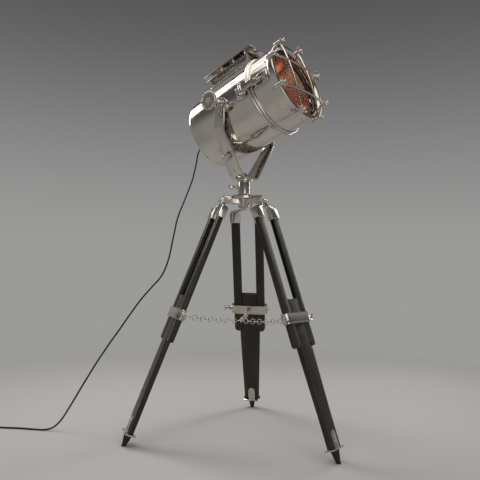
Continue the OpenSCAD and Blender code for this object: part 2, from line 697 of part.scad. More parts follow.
module bezel() {
    x = bezel_x + 0.05;
    color("silver") at_head() difference() {
        union() {
            spun(concat([[bezel_open_r, x], [hood_r + shaft_gap, x], [hood_r + shaft_gap, x - 14], [hood_r + 3, x - 14], [bezel_r, x - 6]],
                arc([bezel_r - 4, x + bezel_t - 4], 4, 0, 90, 4), [[bezel_open_r + 8, x + bezel_t], [bezel_open_r, x + 5]]));
            at_nuts() translate([x - guard_lug_back, 0, 0]) about_x() rod(9, bezel_t + guard_lug_back);
        }
        about_x() translate([0, 0, x - 15]) rod(hood_r + shaft_gap, 15);
        at_nuts() translate([x - 10, 0, 0]) about_x() rod(guard_stud_r + shaft_gap, bezel_t + 20);
        // pockets for the studs' heads behind the lugs
        at_nuts() translate([x - 20, 0, 0]) about_x() rod(stud_head_r + 1, 20 - guard_lug_back);
    }
}

guard_x = bezel_x + bezel_t + 0.1;
guard_pad_t = 3;
module guard_bar() {
    half = guard_pcd_r * cos(22.5);
    sweep_r = (half * half + guard_bulge * guard_bulge) / (2 * guard_bulge);
    ends = asin(half / sweep_r);
    // a bar along Z that bulges towards +X
    translate([guard_bulge - sweep_r, 0, 0]) rotate([90, 0, 0]) rotate([0, 0, -ends])
        rotate_extrude(angle = 2 * ends, $fn = 240) translate([sweep_r, 0]) circle(guard_bar_r, $fn = 24);
}

module guard() {
    color("silver") at_head() difference() {
        union() {
            // the level bars are welded on, slightly in front of the upright ones
            for (turn = [0, 90], side = [-1, 1]) translate([guard_x + guard_bar_r + (turn > 0 ? 2.1 : 0.4), 0, 0])
                rotate([turn, 0, 0]) translate([0, side * guard_pcd_r * sin(22.5), 0]) guard_bar();
            at_nuts() translate([guard_x, 0, 0]) about_x() rod(8.5, guard_pad_t + guard_bar_r);
        }
        at_nuts() translate([guard_x - 1, 0, 0]) about_x() rod(guard_stud_r + shaft_gap, 30);
        at_nuts() translate([guard_x + guard_pad_t + guard_bar_r, 0, 0]) about_x() rod(9.5, 30);
    }
}

module guard_wing_nuts() {
    seat = guard_x + guard_pad_t + guard_bar_r + shaft_gap;
    head_x = bezel_x - guard_lug_back - stud_head_t;
    color("silver") at_head() at_nuts() {
        translate([head_x, 0, 0]) about_x() rod(guard_stud_r, seat + 24 - head_x);
        translate([head_x, 0, 0]) about_x() cylinder(r = stud_head_r, h = stud_head_t, $fn = 6);
        translate([seat, 0, 0]) about_x() rotate([0, 0, 75]) wing_nut(guard_stud_r - 0.5, 13, 40, 3.5);
    }
}

module reflector() {
    wall = 1.6;
    steps = 12;
    neck = holder_r + shaft_gap;
    function bowl(t) = [neck + (reflector_r - neck) * sqrt(t), reflector_back_x + reflector_depth * t];
    inside = [for (i = [0:steps]) bowl(pow(i / steps, 1.6))];
    outside = concat([for (i = [steps:-1:1]) bowl(pow(i / steps, 1.6)) + [wall, -wall]],
        [[neck + wall, reflector_back_x - wall], [neck, reflector_back_x - wall]]);
    color("#b87333") at_head() {
        spun(concat(inside, [[reflector_r + 5, reflector_mouth_x], [reflector_r + 5, reflector_mouth_x - wall]], outside));
    }
}

holder_r = 19;
holder_x = reflector_back_x + 20;
module lamp_holder() {
    color("#2a2522") at_head() {
        spun([[0, -drum_back + 4], [13, -drum_back + 4], [13, holder_x - 26], [holder_r, holder_x - 26], [holder_r, holder_x + 4],
            [17, holder_x + 14], [14, holder_x + 14], [14, holder_x], [0, holder_x]]);
        spun([[14 - 0.5, -drum_back + 0.1], [40, -drum_back + 0.1], [40, -drum_back + 5], [13 - 0.5, -drum_back + 5]]);
    }
}

module bulb() {
    base = holder_x + 0.2;
    c = base + 24 + bulb_r;
    color([1, 0.95, 0.85]) at_head() spun(concat([[0, base], [13, base], [13, base + 20], [15, base + 24]],
        arc([0, c], bulb_r, -58, 90, 12)));
}

module vent_base() {
    l = vent_base_l;
    w = vent_base_w;
    color("silver") at_head() translate([vent_mid_x, 0, 0]) difference() {
        union() {
            box([-l / 2, -w / 2, 100], [l / 2, w / 2, vent_base_top]);
            box([-l / 2 - 5, -w / 2 - 5, vent_base_top - 4], [l / 2 + 5, w / 2 + 5, vent_base_top]);
        }
        box([-l / 2 + 3, -w / 2 + 3, 90], [l / 2 - 3, w / 2 - 3, vent_base_top + 1]);
        translate([-vent_mid_x, 0, 0]) drum_bore(shaft_gap);
    }
}

module vent_stack() {
    l = vent_base_l;
    w = vent_base_w;
    o = vent_overhang;
    post = 7;
    cap_reach = 14;
    color("silver") at_head() translate([vent_mid_x, 0, 0]) {
        difference() {
            box([-l / 2 - o - 4, -w / 2 - o + 1, vent_mid_z], [l / 2 + o + 4, w / 2 + o - 1, vent_mid_z + vent_plate_t]);
            box([-l / 2 + 14, -w / 2 + 12, vent_mid_z - 1], [l / 2 - 14, w / 2 - 12, vent_mid_z + 9]);
        }
        box([-l / 2 - o - cap_reach, -w / 2 - o, vent_cap_z], [l / 2 + o + cap_reach, w / 2 + o, vent_cap_z + vent_plate_t]);
        for (sx = [-1, 1], sy = [-1, 1]) translate([sx * (l / 2 - 6), sy * (w / 2 - 1), 0])
            box([-post / 2, -3, vent_base_top + shaft_gap], [post / 2, 3, vent_mid_z + 0.1]);
        for (i = [-1.5:1:1.5], sy = [-1, 1]) translate([i * l / 3.4, sy * (w / 2 + 2), vent_mid_z + vent_plate_t - 0.1])
            rod(2.6, vent_cap_z - vent_mid_z - vent_plate_t + 0.2);
        // louvre strips between the base and the middle plate
        for (sy = [-1, 1], k = [0, 1]) box([-l / 2 + 5, sy * (w / 2 - 6 - k * 6) - 1, vent_base_top + 8 + k * 12],
            [l / 2 - 5, sy * (w / 2 - 6 - k * 6) + 1, vent_base_top + 17 + k * 12]);
        for (sx = [-1, 1], sy = [-1, 1]) box([sx * (l / 2 - 7) - 2, sy * (w / 2 - 8) - 7, vent_base_top + 6],
            [sx * (l / 2 - 7) + 2, sy * (w / 2 - 8) + 7, vent_mid_z + 0.1]);
    }
}

// ---- Door hinge on the far side and latch on the near side ----
leaf_t = 3;
leaf_y = flange_r + 1;

module door_hinge_fixed() {
    h = door_hinge_h;
    third = h / 3;
    x = drum_front;
    back = drum_front - flange_w - 40;
    color("silver") at_head() {
        difference() {
            union() {
                box([back, drum_r - 12, -h / 2 + 4], [back + 34, leaf_y + 1, h / 2 - 4]);
                box([back, leaf_y, -h / 2], [x - 5, leaf_y + leaf_t, h / 2]);
                for (z = [-h / 2, h / 2 - third + 1]) translate([x, door_hinge_y, z]) rod(door_pin_r + 3, third - 1);
                for (z = [-h / 2, h / 2 - third + 1]) box([x - 9, leaf_y, z], [x, door_hinge_y, z + third - 1]);
            }
            drum_bore(shaft_gap);
            translate([x, door_hinge_y, -h]) rod(door_pin_r - 0.5, h * 2);
            box([x - 9, leaf_y - 5, -third / 2], [x + 10, door_hinge_y + 12, third / 2]);
        }
        translate([x, door_hinge_y, -h / 2 - 3]) rod(door_pin_r, h + 6);
        for (z = [-h / 2 - 5, h / 2]) translate([x, door_hinge_y, z]) rod(door_pin_r + 2, 5);
        for (dx = [8, 26], z = [-18, 18]) translate([back + dx, leaf_y + leaf_t - 0.5, z]) about_y() cylinder(r1 = 4.5, r2 = 3.2, h = 2.6);
    }
}

module door_hinge_moving() {
    third = door_hinge_h / 3 - 1.6;
    x = drum_front;
    front = drum_front + flange_w + 44;
    color("silver") at_head() {
        difference() {
            union() {
                box([front - 34, hood_r - 12, -door_hinge_h / 2 + 4], [front, leaf_y + 1, door_hinge_h / 2 - 4]);
                box([x + 9, leaf_y, -door_hinge_h / 2], [front, leaf_y + leaf_t, door_hinge_h / 2]);
                box([x, leaf_y, -third / 2], [x + 10, door_hinge_y, third / 2]);
                translate([x, door_hinge_y, -third / 2]) rod(door_pin_r + 3, third);
            }
            hood_bore(shaft_gap);
            translate([x, door_hinge_y, -door_hinge_h]) rod(door_pin_r + shaft_gap, door_hinge_h * 2);
            box([x - 20, leaf_y - 6, -third], [x - 0.001, leaf_y + 0.2, third]);
        }
        for (dx = [8, 26], z = [-18, 18]) translate([front - dx, leaf_y + leaf_t - 0.5, z]) about_y() cylinder(r1 = 4.5, r2 = 3.2, h = 2.6);
    }
}

latch_x = drum_front - latch_back;
strap_y = flange_r + 5;
strap_t = 4;
staple_x = drum_front + 40;
module near() mirror([0, 1, 0]) children();

module latch_base() {
    h = latch_w + 16;
    color("silver") at_head() near() {
        difference() {
            box([latch_x - 34, drum_r - 14, -h / 2], [latch_x + 10, drum_r + 5, h / 2]);
            drum_bore(shaft_gap);
        }
        for (z = [-h / 2, h / 2 - 7]) {
            difference() {
                union() {
                    box([latch_x - 7, drum_r + 2, z], [latch_x + 7, latch_pivot_y, z + 7]);
                    translate([latch_x, latch_pivot_y, z]) rod(7, 7);
                }
                translate([latch_x, latch_pivot_y, z - 1]) rod(2.5, 9);
            }
        }
        translate([latch_x, latch_pivot_y, -h / 2 - 2]) rod(3, h + 4);
        for (z = [-14, 14]) translate([latch_x - 24, drum_r + 4.5, z]) about_y() cylinder(r1 = 4.5, r2 = 3.2, h = 3);
    }
}

module latch_strap() {
    h = latch_w;
    waist = 11;
    plate = [staple_x - 20, staple_x + 16];
    corner = 5;
    color("silver") at_head() near() difference() {
        union() {
            translate([latch_x, latch_pivot_y, -h / 2]) rod(6.5, h);
            box([latch_x, latch_pivot_y - 5, -h / 2], [latch_x + 7, latch_pivot_y + 2, h / 2]);
            translate([0, strap_y + strap_t, 0]) rotate([90, 0, 0]) linear_extrude(strap_t) {
                polygon([[latch_x + 3, -h / 2], [drum_front - 4, -waist], [drum_front - 4, waist], [latch_x + 3, h / 2]]);
                translate([drum_front - 5, -waist]) square([plate[0] - drum_front + 10, waist * 2]);
                polygon([[plate[0], corner - h / 2], [plate[0] + corner, -h / 2], [plate[1] - corner, -h / 2],
                    [plate[1], corner - h / 2], [plate[1], h / 2 - corner], [plate[1] - corner, h / 2],
                    [plate[0] + corner, h / 2], [plate[0], h / 2 - corner]]);
            }
            // lifted thumb lip at the free end
            translate([plate[1] - 3, strap_y + 1, 0]) rotate([0, 0, 35]) box([0, 0, -8], [12, 3, 8]);
        }
        translate([latch_x, latch_pivot_y, -h]) rod(3 + shaft_gap, h * 2);
        // fork open at the free end, so that the staple leaves it as the door swings
        box([staple_x - 6, strap_y - 5, -5], [plate[1] + 30, strap_y + 20, 5]);
    }
}

module latch_keeper() {
    l = 66;
    w = 44;
    x0 = drum_front + flange_w + 10;
    color("silver") at_head() near() {
        difference() {
            union() {
                box([x0, hood_r - 8, -w / 2], [x0 + l, hood_r + 4, w / 2]);
                box([staple_x - 4.5, hood_r, -3.5], [staple_x + 4.5, strap_y + strap_t + 3, 3.5]);
                translate([staple_x, strap_y + strap_t + 3, -3.5]) rod(4.5, 7);
            }
            hood_bore(shaft_gap);
        }
        for (dx = [8, l - 8], z = [-15, 15]) translate([x0 + dx, hood_r + 3.5, z]) about_y() cylinder(r1 = 4, r2 = 2.8, h = 2.6);
    }
}

// ---- Cord ----
cord_r = cord_d / 2;
module gland() {
    face = -drum_back - 11.2;
    color("#1a1a1a") at_head() difference() {
        spun([[0, gland_tip_x], [cord_r + 1.2, gland_tip_x], [cord_r + 1.6, gland_tip_x + 3], [9, face - 12], [9, face - 9], [14, face - 9],
            [14, face], [0, face]]);
        for (i = [0:2]) translate([gland_tip_x + 5 + i * 4, 0, 0]) spun([[5.5 + i * 0.8, 0], [20, 0], [20, 1.6], [5.5 + i * 0.8, 1.6]]);
    }
}

// The free stretch, as [x, y, z] measured from the post axis, down from the head and along the floor
gland_end = [gland_tip_x * cos(tilt_rest), 0, pivot_h + gland_tip_x * sin(tilt_rest)];
gland_dir = [-cos(tilt_rest), 0, -sin(tilt_rest)];
cord_floor = cord_r + 0.2;
cord_points = [[-262, -2, 1172], [-266, -10, 1120], [-270, -26, 1050], [-279, -58, 962], [-289, -88, 880], [-295, -106, 792],
    [-300, -124, 700], [-312, -148, 630], [-338, -178, 580], [-366, -208, 530], [-394, -242, 466], [-420, -276, 400],
    [-448, -308, 336], [-476, -344, 262], [-503, -381, 182], [-528, -416, 104], [-550, -446, 42], [-572, -470, 12],
    [-600, -494, cord_floor], [-640, -520, cord_floor], [-686, -548, cord_floor], [-732, -582, cord_floor], [-770, -618, cord_floor]];

coil_centre = [-830, -664];
coil_pitch = cord_d + 0.7;
coil_layer = cord_d + 0.6;
coil_start_a = -55;
COIL_RINGS = 24;
function coil_r(turn) = coil_inner_r + coil_pitch * abs(turn - coil_turns / 2);
function coil_rise(turn) = let (u = min(1, max(0, (turn - coil_turns / 2) * 2 + 0.5))) u * u * (3 - 2 * u);
function coil_at(turn) = [coil_centre[0] + coil_r(turn) * cos(coil_start_a - turn * 360),
    coil_centre[1] + coil_r(turn) * sin(coil_start_a - turn * 360), cord_floor + coil_layer * coil_rise(turn)];
function unit(v) = v / norm(v);
coil_steps = round(coil_turns * COIL_RINGS);
coil_line = [for (i = [0:coil_steps]) coil_at(i * coil_turns / coil_steps)];
coil_in_dir = unit(coil_line[1] - coil_line[0]);
coil_out_dir = unit(coil_line[coil_steps] - coil_line[coil_steps - 1]);
coil_start = coil_line[0] - coil_in_dir * cord_d;
coil_end = coil_line[coil_steps] + coil_out_dir * cord_d;
coil_path = concat([coil_start], coil_line, [coil_end]);

// A smooth curve through points, with a number of steps between each two
function spline_at(p, i, t) = let (n = len(p) - 1, a = p[max(i - 1, 0)], b = p[i], c = p[min(i + 1, n)], d = p[min(i + 2, n)])
    b + 0.5 * t * ((c - a) + t * ((2 * a - 5 * b + 4 * c - d) + t * (3 * (b - c) + d - a)));
function spline(p, steps) = concat([for (i = [0:len(p) - 2], s = [0:steps - 1]) spline_at(p, i, s / steps)], [p[len(p) - 1]]);

free_points = concat([gland_end + gland_dir * face_gap, gland_end + gland_dir * (face_gap + cord_d)], cord_points,
    [coil_start - coil_in_dir * 3 * cord_d, coil_start - coil_in_dir * cord_d, coil_start - coil_in_dir * face_gap]);
CORD_STEPS = 3;
// the first and the last stretch stay straight
free_curve = spline(free_points, CORD_STEPS);
free_path = [for (i = [0:len(free_curve) - 1])
    if (i == 0 || i == len(free_curve) - 1 || (i >= CORD_STEPS && i < len(free_curve) - CORD_STEPS)) free_curve[i]];

// Sweeps a ring of points along a path, turning it as little as possible from each place to the next
function tangent(p, i) = unit(p[min(i + 1, len(p) - 1)] - p[max(i - 1, 0)]);
function frames(p, i, side, out) = i == len(p) ? out
    : let (t = tangent(p, i), s = unit(side - t * (side * t))) frames(p, i + 1, s, concat(out, [[s, cross(t, s)]]));
module tube(path, r, sides) {
    f = frames(path, 0, [0.31, -0.95, 0.05], []);
    rings = len(path);
    points = [for (i = [0:rings - 1], k = [0:sides - 1]) path[i] + r * (f[i][0] * cos(360 * k / sides) + f[i][1] * sin(360 * k / sides))];
    walls = [for (i = [0:rings - 2], k = [0:sides - 1]) let (a = i * sides + k, b = i * sides + (k + 1) % sides)
        each [[a, a + sides, b + sides], [a, b + sides, b]]];
    polyhedron(points, concat([[for (k = [0:sides - 1]) k]], walls, [[for (k = [sides - 1:-1:0]) (rings - 1) * sides + k]]));
}
function length(p) = [for (i = 1, s = 0; i <= len(p); s = i < len(p) ? s + norm(p[i] - p[i - 1]) : s, i = i + 1) if (i == len(p)) s][0];
function coil_gap() = min([for (i = [0:len(coil_path) - 14]) min([for (j = [i + 12:len(coil_path) - 1]) norm(coil_path[i] - coil_path[j])])]) - cord_d;
echo(cord_length = length(free_path) + length(coil_path), coil_self_gap = coil_gap());

module cord() color("#161616") on_axis() tube(free_path, cord_r, 8);
module cord_coil() color("#161616") on_axis() tube(coil_path, cord_r, 6);

module plug() {
    body_l = 42;
    color("#161616") on_axis() translate(coil_end + coil_out_dir * face_gap) rotate([0, 0, atan2(coil_out_dir[1], coil_out_dir[0])])
        about_x() {
            rotate_extrude() polygon([[0, 0], [cord_r + 1, 0], [cord_r + 3, 12], [11, 18], [11, body_l - 4], [9, body_l], [0, body_l]]);
        }
    color("silver") on_axis() translate(coil_end + coil_out_dir * face_gap) rotate([0, 0, atan2(coil_out_dir[1], coil_out_dir[0])])
        for (side = [-1, 1]) translate([body_l - 2, side * 5.5, 0]) about_x() rod(2.4, 20);
}

hub();
post();
pan_lock_screw();
hinge_bolt(front_az);  // front_hinge_bolt
hinge_bolt(back_az);  // back_hinge_bolt
hinge_bolt(left_az);  // left_hinge_bolt
ferrules(front_az);  // front_ferrules
ferrules(back_az);  // back_ferrules
ferrules(left_az);  // left_ferrules
rails(front_az);  // front_rails
rails(back_az);  // back_rails
rails(left_az);  // left_rails
clamp(front_az);  // front_clamp
clamp(back_az);  // back_clamp
clamp(left_az);  // left_clamp
clamp_screw(front_az);  // front_clamp_screw
clamp_screw(back_az);  // back_clamp_screw
clamp_screw(left_az);  // left_clamp_screw
lower_leg(front_az);  // front_lower_leg
lower_leg(back_az);  // back_lower_leg
lower_leg(left_az);  // left_lower_leg
shoe(front_az);  // front_shoe
shoe(back_az);  // back_shoe
shoe(left_az);  // left_shoe
tip(front_az);  // front_tip
tip(back_az);  // back_tip
tip(left_az);  // left_tip
chain(front_az, false);  // front_chain
chain(back_az, true);  // back_chain
chain(left_az, false);  // left_chain
yoke();
yoke_spigot();
arm_knob();
tilt_nut(-1);  // near_tilt_nut
tilt_nut(1);  // far_tilt_nut
drum_shell();
rear_cover();
flange_ring();
pivot_studs();
hand_wheels();
vent_base();
vent_stack();
latch_base();
latch_strap();
reflector();
lamp_holder();
bulb();
door_hinge_fixed();
gland();
hood();
bezel();
glass();
glass_seal();
guard();
guard_wing_nuts();
latch_keeper();
door_hinge_moving();
cord();
cord_coil();
plug();
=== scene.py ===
"""The finished look of a tripod spotlight floor lamp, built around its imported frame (in metres)."""

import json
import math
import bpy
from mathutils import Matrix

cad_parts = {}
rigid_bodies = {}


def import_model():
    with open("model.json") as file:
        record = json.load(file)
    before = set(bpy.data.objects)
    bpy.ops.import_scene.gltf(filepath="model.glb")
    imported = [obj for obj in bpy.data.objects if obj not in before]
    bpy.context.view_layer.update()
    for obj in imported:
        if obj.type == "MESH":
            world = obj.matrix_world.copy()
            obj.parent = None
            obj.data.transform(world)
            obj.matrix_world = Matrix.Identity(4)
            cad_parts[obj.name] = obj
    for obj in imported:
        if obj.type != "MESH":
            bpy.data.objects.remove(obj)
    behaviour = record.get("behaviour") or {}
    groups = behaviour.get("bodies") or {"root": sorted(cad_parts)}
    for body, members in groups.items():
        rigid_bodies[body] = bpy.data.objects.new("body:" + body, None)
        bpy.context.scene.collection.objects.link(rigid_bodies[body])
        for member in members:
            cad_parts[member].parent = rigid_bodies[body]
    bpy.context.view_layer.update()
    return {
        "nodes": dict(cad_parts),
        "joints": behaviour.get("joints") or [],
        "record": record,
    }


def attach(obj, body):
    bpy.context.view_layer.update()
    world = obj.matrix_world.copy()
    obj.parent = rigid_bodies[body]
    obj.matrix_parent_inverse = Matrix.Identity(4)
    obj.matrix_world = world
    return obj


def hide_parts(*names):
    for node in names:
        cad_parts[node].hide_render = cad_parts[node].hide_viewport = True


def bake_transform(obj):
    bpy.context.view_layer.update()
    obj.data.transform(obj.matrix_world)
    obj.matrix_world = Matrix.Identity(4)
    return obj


bl_info = {
    "name": "Tripod Spotlight Lamp",
    "version": (1, 0, 0),
    "blender": (4, 5, 0),
    "location": "3D View > Sidebar > Lamp",
    "description": "Adds the finishes, cord, chains, wing nuts and studio of a tripod spotlight floor lamp",
    "category": "Add Mesh",
}

import bmesh
import bpy
from bpy.props import FloatProperty, FloatVectorProperty, IntProperty, PointerProperty
from bpy.types import Operator, Panel, PropertyGroup
from mathutils import Matrix, Vector

for leftover in list(bpy.data.objects):
    bpy.data.objects.remove(leftover)
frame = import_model()
NODES = frame["nodes"]
JOINTS = {joint["name"]: joint for joint in frame["joints"]}

MM = 0.001
LEGS = {"front": 0, "back": 120, "left": 240}
PIVOT = Vector(JOINTS["tilt"]["pos_m"])
POST_X = PIVOT.x
HINGE_H = JOINTS["front_leg_fold"]["pos_m"][2]
HINGE_R = JOINTS["front_leg_fold"]["pos_m"][0] - POST_X
FOOT_R = frame["record"]["mounts"][0]["pos_m"][0] - POST_X
LEAN = math.atan2(FOOT_R - HINGE_R, HINGE_H)
TILT_REST = math.radians(20)


# ---- Frames of the lamp's own parts ----
def turn(degrees, axis):
    return Matrix.Rotation(math.radians(degrees), 4, axis)


def shift(x, y, z):
    return Matrix.Translation((x, y, z))


ALONG_Y = turn(-90, "X")
ALONG_X = turn(90, "Y")
X_TO_Y = turn(90, "Z")
POST_FOOT = Vector((POST_X, 0, 0))
ON_POST = Matrix.Translation(POST_FOOT)
HEAD = Matrix.Translation(PIVOT) @ Matrix.Rotation(-TILT_REST, 4, "Y")


def leg_frame(azimuth):
    """A leg's own frame: its hinge bolt lies on Y, it runs down along -Z, and +X points outwards."""
    return ON_POST @ turn(azimuth, "Z") @ shift(HINGE_R, 0, HINGE_H) @ Matrix.Rotation(-LEAN, 4, "Y")


def head_side(side):
    """The head's frame, mirrored for the near side, where side is -1."""
    return HEAD @ Matrix.Scale(side, 4, (0, 1, 0))


def own_box(node, place):
    """The lowest and highest corners of a node in one of the frames above."""
    back = place.inverted()
    points = [back @ vertex.co for vertex in NODES[node].data.vertices]
    return (Vector([min(p[i] for p in points) for i in range(3)]),
            Vector([max(p[i] for p in points) for i in range(3)]))


# ---- Settings that a user would change ----
class LampFinishes(PropertyGroup):
    """Colours and gloss of the lamp's finishes."""

    nickel: FloatVectorProperty(name="Nickel", description="Colour of the nickel plate",
                                default=(0.60, 0.565, 0.52), min=0, max=1, subtype="COLOR")
    nickel_warm: FloatVectorProperty(name="Nickel tarnish", description="Colour of tarnished plate",
                                     default=(0.50, 0.44, 0.375), min=0, max=1, subtype="COLOR")
    nickel_roughness: FloatProperty(name="Nickel roughness", description="Roughness of the polished plate",
                                    default=0.085, min=0.02, max=0.6, subtype="FACTOR")
    copper: FloatVectorProperty(name="Copper", description="Colour of the reflector",
                                default=(0.86, 0.46, 0.29), min=0, max=1, subtype="COLOR")
    wood: FloatVectorProperty(name="Wood", description="Colour of the stained wood",
                              default=(0.014, 0.011, 0.009), min=0, max=1, subtype="COLOR")
    wood_light: FloatVectorProperty(name="Wood grain", description="Colour of the grain under the stain",
                                    default=(0.045, 0.031, 0.021), min=0, max=1, subtype="COLOR")
    cable: FloatVectorProperty(name="Cable", description="Colour of the mains cord",
                               default=(0.014, 0.013, 0.012), min=0, max=1, subtype="COLOR")


class LampSizes(PropertyGroup):
    """Sizes of the details that the finished lamp adds to its frame."""

    edge: FloatProperty(name="Edge", description="Width of the rounding on metal edges",
                        default=0.0007, min=0.0002, max=0.002, subtype="DISTANCE", unit="LENGTH")
    cord: FloatProperty(name="Cord diameter", description="Diameter of the mains cord",
                        default=0.007, min=0.005, max=0.009, subtype="DISTANCE", unit="LENGTH")
    screw: FloatProperty(name="Screw head radius", description="Radius of the small slotted screw heads",
                         default=0.0046, min=0.003, max=0.006, subtype="DISTANCE", unit="LENGTH")
    link: FloatProperty(name="Link radius", description="Radius of a chain link to the middle of its wire",
                        default=0.010, min=0.008, max=0.012, subtype="DISTANCE", unit="LENGTH")
    wire: FloatProperty(name="Chain wire radius", description="Radius of the chain's wire",
                        default=0.0015, min=0.001, max=0.002, subtype="DISTANCE", unit="LENGTH")
    nuts: IntProperty(name="Wing nuts", description="Wing nuts round the front of the head",
                      default=8, min=4, max=12)


class LampStage(PropertyGroup):
    """The plain studio."""

    floor: FloatVectorProperty(name="Floor", description="Colour of the floor",
                               default=(0.64, 0.63, 0.62), min=0, max=1, subtype="COLOR")
    backdrop: FloatVectorProperty(name="Backdrop", description="Colour of the backdrop at the horizon",
                                  default=(0.33, 0.327, 0.323), min=0, max=1, subtype="COLOR")
    overhead: FloatVectorProperty(name="Overhead", description="Colour of the backdrop overhead",
                                  default=(0.085, 0.085, 0.087), min=0, max=1, subtype="COLOR")
    lens: FloatProperty(name="Lens", description="Focal length of the camera, in millimetres",
                        default=40.2, min=20, max=90, unit="CAMERA")


# ---- Node trees written as expressions ----
class Wire:
    """An output socket that can stand in an expression on values."""

    def __init__(self, graph, socket):
        self.graph = graph
        self.socket = socket

    def maths(self, operation, first, second):
        return self.graph.maths(operation, first, second)

    def __add__(self, other):
        return self.maths("ADD", self, other)

    def __radd__(self, other):
        return self.maths("ADD", other, self)

    def __sub__(self, other):
        return self.maths("SUBTRACT", self, other)

    def __rsub__(self, other):
        return self.maths("SUBTRACT", other, self)

    def __mul__(self, other):
        return self.maths("MULTIPLY", self, other)

    def __rmul__(self, other):
        return self.maths("MULTIPLY", other, self)

    def __truediv__(self, other):
        return self.maths("DIVIDE", self, other)

    def __pow__(self, other):
        return self.maths("POWER", self, other)


class Made:
    """A node whose outputs are picked by name or number."""

    def __init__(self, graph, node):
        self.graph = graph
        self.node = node

    def __getitem__(self, key):
        return Wire(self.graph, self.node.outputs[key])


class Graph:
    """A shader or geometry node tree in which one method makes any node."""

    def __init__(self, tree):
        self.tree = tree

    def node(self, kind, settings=None, sockets=None):
        made = self.tree.nodes.new(kind)
        for key, value in (settings or {}).items():
            if key == "stops":
                self.set_stops(made.color_ramp, value)
            else:
                setattr(made, key, value)
        for key, value in (sockets or {}).items():
            if isinstance(value, Wire):
                self.tree.links.new(value.socket, made.inputs[key])
            else:
                made.inputs[key].default_value = value
        return Made(self, made)

    def maths(self, operation, *values):
        return self.node("ShaderNodeMath", {"operation": operation}, dict(enumerate(values)))[0]

    def vector(self, **parts):
        """A vector from its X, Y and Z."""
        return self.node("ShaderNodeCombineXYZ", {}, parts)["Vector"]

    def split(self, vector):
        return self.node("ShaderNodeSeparateXYZ", {}, {"Vector": vector})

    @staticmethod
    def set_stops(ramp, stops):
        while len(ramp.elements) < len(stops):
            ramp.elements.new(1)
        for element, (position, shade) in zip(ramp.elements, stops):
            element.position = position
            element.color = (shade, shade, shade, 1)


class Finish(Graph):
    """A material with one Principled shader, whose patterns read the piece's own coordinates."""

    def __init__(self, name, place=Matrix()):
        self.material = bpy.data.materials.new(name)
        self.material.use_nodes = True
        super().__init__(self.material.node_tree)
        self.shader = self.tree.nodes["Principled BSDF"]
        self.output = self.tree.nodes["Material Output"]
        self.place = place

    def coordinates(self, size):
        """Object coordinates in the part's own frame, counted in steps of a size along its X, Y and Z."""
        return self.node("ShaderNodeMapping", {"vector_type": "TEXTURE"}, {
            "Vector": self.node("ShaderNodeTexCoord")["Object"], "Location": self.place.to_translation(),
            "Rotation": self.place.to_euler(), "Scale": size if hasattr(size, "__len__") else (size,) * 3,
        })["Vector"]

    def noise(self, size, detail=3.0, roughness=0.55, distortion=0.0):
        return self.node("ShaderNodeTexNoise", {"noise_dimensions": "3D"}, {
            "Vector": self.coordinates(size), "Scale": 1.0, "Detail": detail,
            "Roughness": roughness, "Distortion": distortion,
        })["Fac"]

    def ramp(self, value, *stops):
        return self.node("ShaderNodeValToRGB", {"stops": stops}, {"Fac": value})["Color"]

    def spread(self, value, low, high, to_low=0.0, to_high=1.0):
        """A value from low to high, spread smoothly from to_low to to_high."""
        return self.node("ShaderNodeMapRange", {"interpolation_type": "SMOOTHSTEP"}, {
            "Value": value, "From Min": low, "From Max": high, "To Min": to_low, "To Max": to_high,
        })["Result"]

    def mix(self, factor, first, second):
        colour = [wire if isinstance(wire, Wire) else (*wire, 1) for wire in (first, second)]
        return self.node("ShaderNodeMix", {"data_type": "RGBA"}, {0: factor, 6: colour[0], 7: colour[1]})[2]

    def set(self, **values):
        """Sets sockets of the shader, by their names with underscores."""
        for key, value in values.items():
            socket = self.shader.inputs[key.replace("_", " ")]
            if isinstance(value, Wire):
                self.tree.links.new(value.socket, socket)
            else:
                socket.default_value = value

    def surface(self, share, first, second):
        """Mixes two shaders into the material's surface."""
        mixed = self.node("ShaderNodeMixShader", {}, {0: share, 1: first, 2: second})
        self.tree.links.new(mixed[0].socket, self.output.inputs["Surface"])

    def bump(self, height, distance):
        sockets = {"Height": height, "Strength": 1.0, "Distance": distance}
        self.set(Normal=self.node("ShaderNodeBump", {}, sockets)["Normal"])


# ---- Finishes ----
def nickel_finish(name, place, seed, roughness_add=0.0, waves=0.0):
    """Nickel plate: polished, a little tarnished and smudged, with fine rubbing marks."""
    look = bpy.context.scene.lamp_finishes
    finish = Finish(name, Matrix.Translation((seed, 0, 0)) @ place)
    tarnish = finish.spread(finish.noise(0.11, 4), 0.44, 0.72)
    specks = finish.spread(finish.noise(0.004, 2), 0.66, 0.78)
    smudge = finish.noise(0.035, 5, 0.6, 0.4)
    rubbing = finish.noise((0.05, 0.0012, 0.05), 2)
    base = finish.mix(tarnish * 0.55, look.nickel, look.nickel_warm)
    polish = look.nickel_roughness + roughness_add
    finish.set(
        Base_Color=finish.mix(specks * 0.35, base, (0.33, 0.28, 0.23)),
        Metallic=1.0,
        Roughness=polish + smudge ** 2.0 * 0.16 + tarnish * 0.05 + specks * 0.12,
    )
    swell = finish.noise(0.075, 1, 0.4)
    finish.bump(swell * waves + rubbing * 0.004 + smudge * 0.02, 0.001)
    return finish.material


